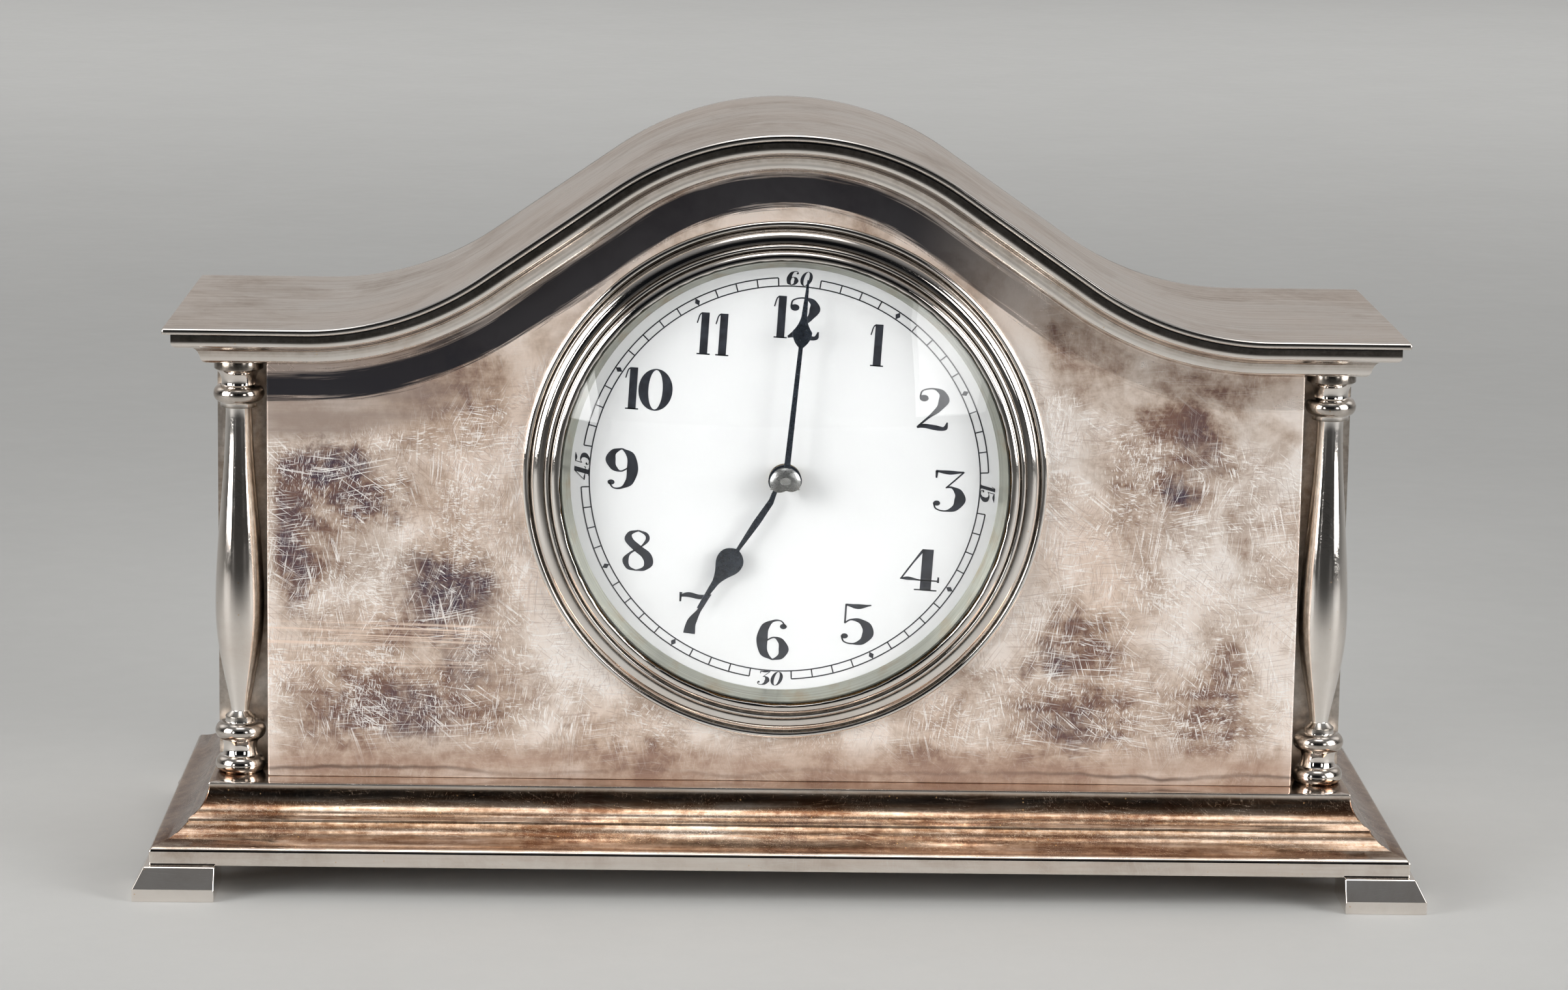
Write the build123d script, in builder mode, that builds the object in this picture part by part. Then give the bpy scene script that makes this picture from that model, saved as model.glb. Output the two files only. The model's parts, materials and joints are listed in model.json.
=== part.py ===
from build123d import *
import os
from math import acos, asin, atan2, cos, degrees, hypot, pi, radians, sin

# Tambour mantel clock: a silver-plated case on a moulded plinth, with a spring-driven lever movement.
# Millimetres. Z is up, the dial faces -Y, and the origin is on the floor under the middle of the case.

# Plinth and feet
foot_stand_x = 2.5
foot_stand_y = 2.6
foot_length = 12.9
foot_height = 5.25
foot_lip = 2.0
foot_lean = 1.7
band_height = 2.95
band_rounding = 0.8
flare_width = 4.8
flare_height = 2.9
flare_hollow = 0.5
flare_break = 0.35
cove_width = 3.0
cove_height = 4.65
cove_hollow = 0.75
deck_edge = 0.5
deck_margin_x = 0.5
deck_margin_y = 4.8
deck_sheet = 1.6

# Case walls
case_half_depth = 25.1
block_half_width = 81.9
panel_sheet = 1.0
wall_sheet = 1.2

# Arch of the roof and the cornice under it
soffit_lap_x = 1.3
soffit_lap_y = 0.1
crown_margin = 13.95
crown_radius = 48.2
sweep_radius = 48.6
slope_run = 25.28
roof_sheet = 1.0
roof_rounding = 0.42
ovolo_inset = 1.3
ovolo_height = 2.35
ovolo_turn = 1.95
ovolo_swell = 0.55
soffit_step = 0.4
hollow_width = 2.05
hollow_height = 1.9
hollow_depth = 0.6
fillet_height = 1.0
fillet_step = 0.3
cornice_seat = 10.6

# Columns
column_height = 66.65
column_gap_x = 0.65
column_gap_y = 0.35
column_inset_x = 3.8
column_inset_y = 4.1
column_base_radius = 4.0
column_base_height = 2.7
column_rounding = 0.35
column_neck_radius = 2.95
column_neck_height = 2.5
column_neck_hollow = 0.28
column_ring_radius = 4.05
column_ring_height = 2.9
column_foot_radius = 2.4
column_foot_height = 1.8
column_foot_swell = 0.2
shaft_low_radius = 1.45
shaft_full_radius = 3.9
shaft_full_rise = 27.0
shaft_top_radius = 2.1
column_collar_radius = 2.9
column_collar_height = 0.7
column_throat_radius = 2.75
column_throat_height = 2.6
column_throat_hollow = 0.45
column_cap_radius = 3.9
column_cap_height = 1.3
tenon_radius = 1.2
tenon_length = 1.1
tenon_clearance = 0.05

# Bezel, glass and dial
dial_margin = 7.25
bezel_bead_radius = 0.75
bezel_bead_rise = 0.55
bezel_groove = 0.6
bezel_groove_width = 0.2
band_width = 1.6
band_rise = 2.1
band_swell = 0.45
crest_gap = 0.4
crest_width = 0.95
crest_rise = 2.75
lip_inset = 0.05
lip_width = 1.3
lip_sheet = 0.5
drum_radius = 36.4
drum_sheet = 0.8
drum_length = 37.6
drum_hole_clearance = 0.3
drum_fit = 0.05
drum_front = 1.6
ring_width = 3.6
ring_thickness = 3.0
glass_thickness = 1.2
glass_dome = 5.0
glass_clearance = 0.1
sight_radius = 33.9
sight_ring_wall = 0.25
sight_lip = 0.4
dial_recess = 1.5
dial_thickness = 1.4
dial_clearance = 0.2
dial_hole_radius = 2.6
ledge_width = 2.0

# Hands, with their angles clockwise from upright as seen from the front
hand_sheet = 0.35
minute_angle = 5.5
minute_length = 32.4
minute_boss_radius = 2.5
minute_root_width = 1.0
minute_neck_width = 0.7
minute_neck_reach = 21.7
minute_spade_width = 3.1
minute_spade_reach = 24.2
minute_spade_round = 0.3
minute_spade_hollow = 0.18
minute_taper_width = 0.9
minute_taper_reach = 26.6
minute_tip_width = 0.3
hour_angle = 213.4
hour_length = 24.6
hour_boss_radius = 2.65
hour_root_width = 0.8
hour_swell_width = 1.1
hour_swell_reach = 8.0
hour_neck_width = 0.6
hour_neck_reach = 13.3
hour_bulb_width = 4.3
hour_bulb_reach = 15.5
hour_taper_width = 1.1
hour_taper_reach = 19.6
hour_tip_width = 0.3
hour_hand_lift = 1.25
minute_hand_lift = 1.15
collet_radius = 2.45
collet_rise = 0.85
collet_edge = 0.28
collet_swell = 0.14
arbor_nib = 0.7

# Movement plates
motion_space = 3.7
plate_sheet = 1.6
plate_gap = 15.0
plate_clearance = 0.3
plate_post_angles = (-30.0, 35.0, 145.0, 210.0)
plate_post_circle = 31.0
pillar_radius = 1.8
screw_radius = 0.8
screw_head_radius = 1.6
screw_head_height = 1.0
screw_reach = 4.0
screw_clearance = 0.05
screw_slot = 0.4
rim_screw_angles = (0.0, 90.0, 180.0)
rim_screw_inset = 1.15
rim_screw_radius = 0.5
rim_screw_head = 0.85
rim_screw_reach = 1.2

# Running fits
pivot_radius = 0.35
pivot_clearance = 0.05
pipe_clearance = 0.05
press_clearance = 0.02
end_shake = 0.15
pivot_reach = 1.3

# Going train: teeth, tooth size and where each wheel sits behind the front plate
barrel_teeth = 60
barrel_module = 0.4
intermediate_pinion = 10
intermediate_teeth = 60
intermediate_module = 0.38
centre_pinion_leaves = 10
centre_teeth = 80
centre_module = 0.3
third_pinion = 8
third_teeth = 60
third_module = 0.28
fourth_pinion = 8
fourth_teeth = 56
fourth_module = 0.26
escape_pinion = 7
escape_teeth = 15
escape_radius = 3.5
escape_root_radius = 2.5
escape_tip_start = 0.5
escape_tip_end = 0.66
escape_tooth_end = 0.74
barrel_drop = 18.0
third_angle = 125.0
fourth_angle = 30.0
escape_angle = 60.0
wheel_sheet = 0.8
great_wheel_sheet = 1.6
pinion_overhang = 0.4
barrel_level = 0.7
barrel_length = 10.2
barrel_radius = 11.0
barrel_wall = 0.8
centre_level = 11.5
intermediate_level = 13.3
third_level = 7.9
fourth_level = 4.3
escape_level = 9.3
arbor_radius = 0.55
barrel_arbor_radius = 2.0
barrel_core_radius = 2.7
centre_arbor_radius = 0.85
centre_pipe_radius = 1.35
wheel_addendum = 0.85
wheel_dedendum = 1.05
wheel_root_share = 0.44
wheel_tip_share = 0.16
leaf_addendum = 0.55
leaf_dedendum = 1.25
leaf_root_share = 0.36
leaf_tip_share = 0.2
wheel_rim = 1.1
wheel_spoke = 1.0
wheel_holes = 5

# Motion work behind the dial
cannon_leaves = 12
minute_teeth = 36
motion_module = 0.4
minute_leaves = 10
hour_teeth = 40
minute_wheel_angle = -30.0
motion_level = 0.7
motion_sheet = 0.7
motion_step = 0.8
hour_pipe_wall = 0.6

# Mainspring and hairspring
mainspring_strip = 0.3
mainspring_turns = 7
mainspring_margin = 0.35
spring_end_gap = 0.25
hairspring_strip = 0.14
hairspring_turns = 5
hairspring_radius = 1.3
hairspring_pitch = 0.6
hairspring_height = 0.5

# Escapement and balance
pallet_distance = 4.9
pallet_half_span = 2.6
pallet_sheet = 0.5
pallet_arm_width = 0.9
pallet_stone_width = 0.5
pallet_stone_clearance = 0.38
fork_gap = 0.15
fork_width = 1.9
fork_slot = 0.8
fork_slot_depth = 1.0
balance_offset_x = 16.0
balance_offset_z = 17.0
balance_radius = 7.5
balance_rim = 0.9
balance_thickness = 1.0
balance_lift = 2.5
balance_arm_width = 1.2
staff_radius = 0.6
roller_radius = 1.5
roller_thickness = 0.5
impulse_radius = 0.22
impulse_reach = 1.1
staff_hole_clearance = 0.5
hairspring_lift = 0.35
cock_gap = 0.45
cock_sheet = 1.4
cock_foot_radius = 3.0
cock_foot_angle = -55.0
cock_foot_distance = 12.6
cock_eye_radius = 2.6
stud_radius = 0.4
regulator_radius = 2.4
regulator_boss_radius = 1.4
regulator_sheet = 0.5
regulator_tail = 6.5
regulator_tail_width = 1.0
regulator_angle = 120.0

# Winding
ratchet_teeth = 24
ratchet_radius = 6.5
ratchet_tooth_height = 0.8
ratchet_tip_share = 0.85
ratchet_sheet = 1.2
ratchet_gap = 0.3
square_side = 2.6
key_pipe_radius = 3.0
key_pipe_length = 8.0
key_wing_radius = 3.6
key_wing_reach = 5.4
key_wing_hole = 1.7
key_sheet = 1.5
key_bore_clearance = 0.05
click_angle = 160.0
click_distance = 10.6
click_boss_radius = 1.6
click_post_radius = 0.8
click_nose_radius = 0.3
click_tip_clearance = 0.25
click_aim = 118.0
click_spring_strip = 0.4
click_spring_gap = 1.5
click_spring_length = 9.0
click_spring_foot = 1.2
click_spring_turn = 115.0
knob_radius = 5.0
knob_thickness = 3.0
knob_flutes = 20
knob_flute_radius = 0.45
knob_boss_radius = 2.2
knob_boss_length = 1.5
knob_stand_off = 9.5

# Back door
door_opening_half_width = 34.0
door_opening_drop = 39.45
door_opening_rise = 26.55
door_lap = 2.0
door_sheet = 1.2
door_gap = 0.15
door_corner = 2.0
hinge_pin_radius = 0.7
hinge_pin_head = 1.2
hinge_pin_head_height = 0.7
hinge_knuckle_radius = 1.5
hinge_fit = 0.06
hinge_margin = 0.2
hinge_knuckles = 5
hinge_length = 40.0
hinge_knuckle_gap = 0.15
hinge_leaf_width = 3.2
door_knob_radius = 2.6
door_knob_neck = 1.2
door_knob_foot = 2.0
door_knob_length = 7.0
door_knob_inset = 5.0

# Places worked out from the sizes above
band_top = foot_height + band_height
flare_top = band_top + flare_height
deck_top = flare_top + flare_break + cove_height + deck_edge
panel_face = -case_half_depth
panel_back = panel_face + panel_sheet
back_face = case_half_depth
back_inside = back_face - panel_sheet
column_x = block_half_width + column_gap_x + column_ring_radius
column_y = panel_face + column_inset_y
case_half_width = column_x + column_inset_x
shoulder_face = column_y + column_ring_radius + column_gap_y
deck_half_width = case_half_width + deck_margin_x
deck_half_depth = case_half_depth + deck_margin_y
band_half_width = deck_half_width + cove_width + flare_width + band_rounding
band_half_depth = deck_half_depth + cove_width + flare_width + band_rounding
foot_half_width = band_half_width + foot_stand_x
foot_half_depth = band_half_depth + foot_stand_y
cornice_height = roof_sheet + ovolo_height + hollow_height + fillet_height
cornice_projection = ovolo_inset + ovolo_turn + soffit_step + hollow_width + fillet_step
soffit_height = deck_top + column_height
soffit_half_width = case_half_width + soffit_lap_x
soffit_half_depth = case_half_depth + soffit_lap_y
roof_half_width = soffit_half_width + cornice_projection
roof_half_depth = soffit_half_depth + cornice_projection
shoulder_height = soffit_height + cornice_height
drum_inner = drum_radius - drum_sheet
lip_radius = drum_inner + lip_inset
crest_inner_radius = lip_radius + lip_width
crest_outer_radius = crest_inner_radius + crest_width
band_inner_radius = crest_outer_radius + crest_gap
band_outer_radius = band_inner_radius + band_width
bezel_radius = band_outer_radius + bezel_groove_width + 2 * bezel_bead_radius
dial_height = deck_top + dial_margin + bezel_radius
crown_height = dial_height + bezel_radius + crown_margin
door_opening_low = dial_height - door_opening_drop
door_opening_high = dial_height + door_opening_rise
drum_start = panel_face - drum_front
dial_front = panel_face + dial_recess
dial_back = dial_front + dial_thickness
plate_radius = drum_inner - plate_clearance
front_plate_face = dial_back + motion_space
front_plate_back = front_plate_face + plate_sheet
back_plate_face = front_plate_back + plate_gap
back_plate_back = back_plate_face + plate_sheet
hour_hand_rear = dial_front - hour_hand_lift
hour_hand_front = hour_hand_rear - hand_sheet
minute_hand_rear = hour_hand_front - minute_hand_lift
minute_hand_front = minute_hand_rear - hand_sheet
collet_front = minute_hand_front - collet_rise
arbor_front = collet_front - arbor_nib

dial_axis = Axis((0, 0, dial_height), (0, 1, 0))
os.makedirs("parts", exist_ok=True)


def write_piece(piece, name):
    """Label a finished piece and write it to its own file."""
    piece.part.label = name
    export_step(piece.part, f"parts/{name}.step")


def across(y):
    """Plane square to the dial's axis at depth y: local x is X, local y is Z, and it faces the front."""
    return Plane.XZ.offset(-y)


def from_dial(x, z):
    """Place in an across() plane, measured from the dial's middle."""
    return (x, dial_height + z)


def around(centre, distance, angle):
    """Place at a distance and an angle in degrees from another place, seen from the front."""
    x, z = centre
    return (x + distance * cos(radians(angle)), z + distance * sin(radians(angle)))


def arch_points(drop):
    """Right half of the arch, offset inward by drop: crown top, crown end, sweep start, mid and end."""
    crown_z = crown_height - crown_radius
    sweep_z = shoulder_height + sweep_radius
    span = hypot(crown_radius + sweep_radius, slope_run)
    sweep_start = (span ** 2 - (sweep_z - crown_z) ** 2) ** 0.5
    slope = asin((crown_radius + sweep_radius) / span) - atan2(sweep_z - crown_z, sweep_start)
    crown = crown_radius - drop
    sweep = sweep_radius + drop
    return (
        (0.0, crown_z + crown),
        (crown * sin(slope), crown_z + crown * cos(slope)),
        (sweep_start - sweep * sin(slope), sweep_z - sweep * cos(slope)),
        (sweep_start - sweep * sin(slope / 2), sweep_z - sweep * cos(slope / 2)),
        (sweep_start, sweep_z - sweep),
    )


def draw_arch(drop, half_width):
    """Draw the arch from the left end to the right end inside a BuildLine."""
    top, crown_end, sweep_top, sweep_mid, sweep_end = arch_points(drop)
    end = (half_width, sweep_end[1])
    flip = lambda point: (-point[0], point[1])
    Line(flip(end), flip(sweep_end))
    ThreePointArc(flip(sweep_end), flip(sweep_mid), flip(sweep_top))
    Line(flip(sweep_top), flip(crown_end))
    ThreePointArc(flip(crown_end), top, crown_end)
    Line(crown_end, sweep_top)
    ThreePointArc(sweep_top, sweep_mid, sweep_end)
    Line(sweep_end, end)


def bowed(start, end, bow):
    """Arc from start to end whose middle stands off the chord by bow, to the left of the way it runs."""
    length = hypot(end[0] - start[0], end[1] - start[1])
    across_x = -(end[1] - start[1]) / length
    across_y = (end[0] - start[0]) / length
    middle = ((start[0] + end[0]) / 2 + bow * across_x, (start[1] + end[1]) / 2 + bow * across_y)
    ThreePointArc(start, middle, end)


def draw_plinth_side(half_width):
    """Draw the right side of the plinth's profile, from its floor line up to its deck, in a BuildLine."""
    band = (half_width, foot_height)
    shoulder = (half_width, band_top - band_rounding)
    nose = (half_width - band_rounding, band_top)
    flare_end = (half_width - band_rounding - flare_width, flare_top)
    break_end = (flare_end[0], flare_top + flare_break)
    cove_end = (break_end[0] - cove_width, break_end[1] + cove_height)
    deck = (cove_end[0], deck_top)
    Line(band, shoulder)
    RadiusArc(shoulder, nose, -band_rounding)
    bowed(nose, flare_end, flare_hollow)
    Line(flare_end, break_end)
    bowed(break_end, cove_end, cove_hollow)
    Line(cove_end, deck)
    return band, deck


def plinth_face(plane, half_width):
    """Outline of the plinth seen from one side."""
    with BuildSketch(plane) as face:
        with BuildLine():
            band, deck = draw_plinth_side(half_width)
            Line(deck, (0, deck[1]))
            Line((0, deck[1]), (0, band[1]))
            Line((0, band[1]), band)
        make_face()
        mirror(about=Plane.YZ)
    return face.sketch


# Plinth: the same moulding runs round all four sides, so two crossed profiles give its mitres
core_half_width = deck_half_width - deck_sheet
core_half_depth = deck_half_depth - deck_sheet
core_height = deck_top - foot_height - deck_sheet

with BuildPart() as plinth:
    extrude(plinth_face(Plane.XZ, band_half_width), amount=band_half_depth, both=True)
    extrude(plinth_face(Plane.YZ, band_half_depth), amount=band_half_width, both=True, mode=Mode.INTERSECT)
    with BuildSketch(Plane.XY.offset(foot_height)):
        Rectangle(2 * core_half_width, 2 * core_half_depth)
    extrude(amount=core_height, mode=Mode.SUBTRACT)
    with BuildSketch(Plane.XY.offset(deck_top)):
        with Locations((-column_x, column_y), (column_x, column_y)):
            Circle(tenon_radius + tenon_clearance)
    extrude(amount=-(tenon_length + tenon_clearance), mode=Mode.SUBTRACT)
write_piece(plinth, "plinth")

with BuildPart() as plinth_core:
    with BuildSketch(Plane.XY.offset(foot_height)):
        Rectangle(2 * core_half_width, 2 * core_half_depth)
    extrude(amount=core_height)
write_piece(plinth_core, "plinth_core")

# Bracket feet: upright at the floor, leaning in on the two outer faces
for side_name, side in (("left", -1), ("right", 1)):
    for end_name, end in (("front", -1), ("back", 1)):
        floor_middle = (side * (foot_half_width - foot_length / 2), end * (foot_half_depth - foot_length / 2))
        top_length = foot_length - foot_lean
        top_middle = (floor_middle[0] - side * foot_lean / 2, floor_middle[1] - end * foot_lean / 2)
        with BuildPart() as foot:
            with BuildSketch(Plane.XY):
                with Locations(floor_middle):
                    Rectangle(foot_length, foot_length)
            extrude(amount=foot_lip)
            with BuildSketch(Plane.XY.offset(foot_lip)):
                with Locations(floor_middle):
                    Rectangle(foot_length, foot_length)
            with BuildSketch(Plane.XY.offset(foot_height)):
                with Locations(top_middle):
                    Rectangle(top_length, top_length)
            loft(ruled=True)
        write_piece(foot, f"foot_{end_name}_{side_name}")


def arched_panel(plane, half_width):
    """Outline of a panel from the deck up to the underside of the cornice."""
    with BuildSketch(plane) as face:
        with BuildLine():
            draw_arch(cornice_height, half_width)
            Polyline((half_width, soffit_height), (half_width, deck_top), (-half_width, deck_top),
                     (-half_width, soffit_height))
        make_face()
    return face.sketch


# Front and back panels
with BuildPart() as front_panel:
    extrude(arched_panel(across(panel_back), block_half_width), amount=panel_sheet)
    with BuildSketch(across(panel_back)):
        with Locations(from_dial(0, 0)):
            Circle(drum_radius + drum_hole_clearance)
    extrude(amount=panel_sheet, mode=Mode.SUBTRACT)
write_piece(front_panel, "front_panel")

door_half_width = door_opening_half_width + door_lap
door_low = door_opening_low - door_lap
door_high = door_opening_high + door_lap
door_middle = (door_low + door_high) / 2
door_inner = back_face + door_gap
hinge_x = door_half_width + hinge_knuckle_radius + hinge_margin
hinge_y = back_face + hinge_knuckle_radius + door_gap
knuckle_pitch = hinge_length / hinge_knuckles
knuckle_length = knuckle_pitch - hinge_knuckle_gap
hinge_low = door_middle - hinge_length / 2


def knuckle_section(index, bore, leaf_near, leaf_far, leaf_front, leaf_rear):
    """Section of one hinge knuckle and its leaf, at the knuckle's lower end."""
    low = hinge_low + index * knuckle_pitch + hinge_knuckle_gap / 2
    with BuildSketch(Plane.XY.offset(low)) as section:
        with Locations((hinge_x, hinge_y)):
            Circle(hinge_knuckle_radius)
        with BuildLine():
            Polyline((leaf_near, leaf_front), (leaf_far, leaf_front), (leaf_far, leaf_rear),
                     (leaf_near, leaf_rear), close=True)
        make_face()
        with Locations((hinge_x, hinge_y)):
            Circle(bore, mode=Mode.SUBTRACT)
    return section.sketch


with BuildPart() as back_panel:
    extrude(arched_panel(across(back_face), case_half_width), amount=panel_sheet)
    with BuildSketch(across(back_face)):
        with Locations((0, (door_opening_low + door_opening_high) / 2)):
            Rectangle(2 * door_opening_half_width, door_opening_high - door_opening_low)
    extrude(amount=panel_sheet, mode=Mode.SUBTRACT)
    for index in range(0, hinge_knuckles, 2):
        knuckle = knuckle_section(index, hinge_pin_radius + press_clearance, hinge_x, hinge_x + hinge_leaf_width,
                                  back_face, hinge_y)
        extrude(knuckle, amount=knuckle_length)
write_piece(back_panel, "back_panel")

# Back door with its knuckles, its pin and a small turned pull
with BuildPart() as back_door:
    with BuildSketch(across(door_inner + door_sheet)):
        with Locations((0, door_middle)):
            RectangleRounded(2 * door_half_width, door_high - door_low, door_corner)
    extrude(amount=door_sheet)
    for index in range(1, hinge_knuckles, 2):
        knuckle = knuckle_section(index, hinge_pin_radius + hinge_fit, door_half_width - hinge_margin, hinge_x,
                                  door_inner, door_inner + door_sheet)
        extrude(knuckle, amount=knuckle_length)
write_piece(back_door, "back_door")

with BuildPart() as hinge_pin:
    with BuildSketch(Plane.XY.offset(hinge_low)):
        with Locations((hinge_x, hinge_y)):
            Circle(hinge_pin_radius)
    extrude(amount=hinge_length)
    with BuildSketch(Plane.XY.offset(hinge_low + hinge_length)):
        with Locations((hinge_x, hinge_y)):
            Circle(hinge_pin_head)
    extrude(amount=hinge_pin_head_height)
write_piece(hinge_pin, "hinge_pin")

pull_x = door_knob_inset - door_half_width
pull_seat = door_inner + door_sheet
ball_middle = door_knob_length - door_knob_radius
ball_start = ball_middle - (door_knob_radius ** 2 - door_knob_neck ** 2) ** 0.5
with BuildPart() as door_knob:
    with BuildSketch(Plane((pull_x, pull_seat, door_middle), x_dir=(1, 0, 0), z_dir=(0, 0, 1))):
        with BuildLine():
            Polyline((0, door_knob_length), (0, 0), (door_knob_foot, 0), (door_knob_neck, door_knob_neck),
                     (door_knob_neck, ball_start))
            ThreePointArc((door_knob_neck, ball_start), (door_knob_radius, ball_middle), (0, door_knob_length))
        make_face()
    revolve(axis=Axis((pull_x, 0, door_middle), (0, 1, 0)))
write_piece(door_knob, "door_knob")

# Side walls: one bent sheet each, round the notch that holds the column
for side_name, side in (("left", -1), ("right", 1)):
    outer = (
        (block_half_width, panel_back),
        (block_half_width, shoulder_face),
        (case_half_width, shoulder_face),
        (case_half_width, back_inside),
    )
    inner = (
        (case_half_width - wall_sheet, back_inside),
        (case_half_width - wall_sheet, shoulder_face + wall_sheet),
        (block_half_width - wall_sheet, shoulder_face + wall_sheet),
        (block_half_width - wall_sheet, panel_back),
    )
    with BuildPart() as side_wall:
        with BuildSketch(Plane.XY.offset(deck_top)):
            with BuildLine():
                Polyline(*[(side * x, y) for x, y in outer + inner], close=True)
            make_face()
        extrude(amount=column_height)
    write_piece(side_wall, f"side_wall_{side_name}")

# Columns, turned, with a tenon at each end

def draw_column():
    """Half outline of a column from its lower tenon to its upper one, radius against height."""
    neck_low = column_base_height
    ring_low = neck_low + column_neck_height
    ring_low_top = ring_low + column_ring_height
    shaft_low = ring_low_top + column_foot_height
    cap_low = column_height - column_cap_height
    throat_low = cap_low - column_throat_height
    ring_high = throat_low - column_ring_height
    shaft_high = ring_high - column_collar_height
    base_top = (column_neck_radius, neck_low)
    Polyline((0, -tenon_length), (tenon_radius, -tenon_length), (tenon_radius, 0), (column_base_radius, 0))
    Line((column_base_radius, 0), (column_base_radius, neck_low - column_rounding))
    Line((column_base_radius, neck_low - column_rounding), (column_base_radius - column_rounding, neck_low))
    Line((column_base_radius - column_rounding, neck_low), base_top)
    bowed(base_top, (column_neck_radius, ring_low), column_neck_hollow)
    ThreePointArc((column_neck_radius, ring_low), (column_ring_radius, ring_low + column_ring_height / 2),
                  (column_neck_radius, ring_low_top))
    Line((column_neck_radius, ring_low_top), (column_foot_radius, ring_low_top))
    Line((column_foot_radius, ring_low_top), (column_foot_radius, ring_low_top + column_foot_height / 2))
    bowed((column_foot_radius, ring_low_top + column_foot_height / 2), (shaft_low_radius, shaft_low),
          column_foot_swell)
    Spline((shaft_low_radius, shaft_low),
           (shaft_full_radius, shaft_full_rise),
           (shaft_top_radius, shaft_high),
           tangents=((0.22, 1), (0, 1), (-0.03, 1)), tangent_scalars=(1.0, 1.0, 1.0))
    Line((shaft_top_radius, shaft_high), (column_collar_radius, shaft_high))
    Line((column_collar_radius, shaft_high), (column_collar_radius, ring_high))
    ThreePointArc((column_collar_radius, ring_high), (column_ring_radius, ring_high + column_ring_height / 2),
                  (column_collar_radius, throat_low))
    Line((column_collar_radius, throat_low), (column_throat_radius, throat_low))
    bowed((column_throat_radius, throat_low), (column_cap_radius, cap_low), -column_throat_hollow)
    Polyline((column_cap_radius, cap_low), (column_cap_radius, column_height), (tenon_radius, column_height),
             (tenon_radius, column_height + tenon_length), (0, column_height + tenon_length), (0, -tenon_length))


for side_name, side in (("left", -1), ("right", 1)):
    with BuildPart() as column:
        with BuildSketch(Plane((side * column_x, column_y, deck_top), x_dir=(1, 0, 0), z_dir=(0, -1, 0))):
            with BuildLine():
                draw_column()
            make_face()
        revolve(axis=Axis((side * column_x, column_y, 0), (0, 0, 1)))
    write_piece(column, f"column_{side_name}")

# Cornice: one moulding, swept along the arch at front and back and straight along the sides, mitred at the corners
ovolo_top = roof_sheet
ovolo_low = ovolo_top + ovolo_height
hollow_low = ovolo_low + hollow_height


def draw_cornice(reach, top):
    """Draw the moulding's section: reach is its outermost edge, top the height of the roof above it."""
    ovolo_edge = reach - ovolo_inset
    ovolo_foot = ovolo_edge - ovolo_turn
    hollow_edge = ovolo_foot - soffit_step
    hollow_foot = hollow_edge - hollow_width
    seat = hollow_foot - fillet_step
    Line((seat - cornice_seat, top - ovolo_top), (ovolo_edge, top - ovolo_top))
    bowed((ovolo_edge, top - ovolo_top), (ovolo_foot, top - ovolo_low), ovolo_swell)
    Line((ovolo_foot, top - ovolo_low), (hollow_edge, top - ovolo_low))
    bowed((hollow_edge, top - ovolo_low), (hollow_foot, top - hollow_low), -hollow_depth)
    Polyline((hollow_foot, top - hollow_low), (hollow_foot, top - cornice_height), (seat, top - cornice_height),
             (seat - cornice_seat, top - cornice_height), (seat - cornice_seat, top - ovolo_top))


def mitre_plan(half_run, half_depth, turn):
    """Plan of one run of the cornice between the mitres at its two ends, with room to spare across it."""
    out = 2 * cornice_projection
    back = 1.2 * cornice_seat
    with BuildSketch(Plane.XY.rotated((0, 0, turn))) as plan:
        with BuildLine():
            Polyline((-half_run - out, -half_depth - out), (half_run + out, -half_depth - out),
                     (half_run - back, -half_depth + back), (-half_run + back, -half_depth + back), close=True)
        make_face()
    return plan.sketch


for end_name, end in (("front", -1), ("back", 1)):
    with BuildPart() as cornice:
        with BuildLine(Plane.XZ) as arch_path:
            draw_arch(0, roof_half_width)
        with BuildSketch(Plane((-roof_half_width, 0, 0), x_dir=(0, end, 0), z_dir=(end, 0, 0))):
            with BuildLine():
                draw_cornice(roof_half_depth, shoulder_height)
            make_face()
        sweep(path=arch_path.wires()[0])
        plan = mitre_plan(soffit_half_width, soffit_half_depth, 0 if end < 0 else 180)
        extrude(plan, amount=2 * crown_height, mode=Mode.INTERSECT)
        if end < 0:
            with BuildSketch(Plane.XY.offset(soffit_height)):
                with Locations((-column_x, column_y), (column_x, column_y)):
                    Circle(tenon_radius + tenon_clearance)
            extrude(amount=tenon_length + tenon_clearance, mode=Mode.SUBTRACT)
    write_piece(cornice, f"cornice_{end_name}")

for side_name, side in (("left", -1), ("right", 1)):
    with BuildPart() as cornice:
        with BuildSketch(Plane((0, 0, 0), x_dir=(side, 0, 0), z_dir=(0, -side, 0))):
            with BuildLine():
                draw_cornice(roof_half_width, shoulder_height)
            make_face()
        extrude(amount=roof_half_depth, both=True)
        plan = mitre_plan(soffit_half_depth, soffit_half_width, 90 if side > 0 else -90)
        extrude(plan, amount=2 * crown_height, mode=Mode.INTERSECT)
        with BuildSketch(Plane.XY.offset(soffit_height)):
            with Locations((side * column_x, column_y)):
                Circle(tenon_radius + tenon_clearance)
        extrude(amount=tenon_length + tenon_clearance, mode=Mode.SUBTRACT)
    write_piece(cornice, f"cornice_{side_name}")

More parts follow.
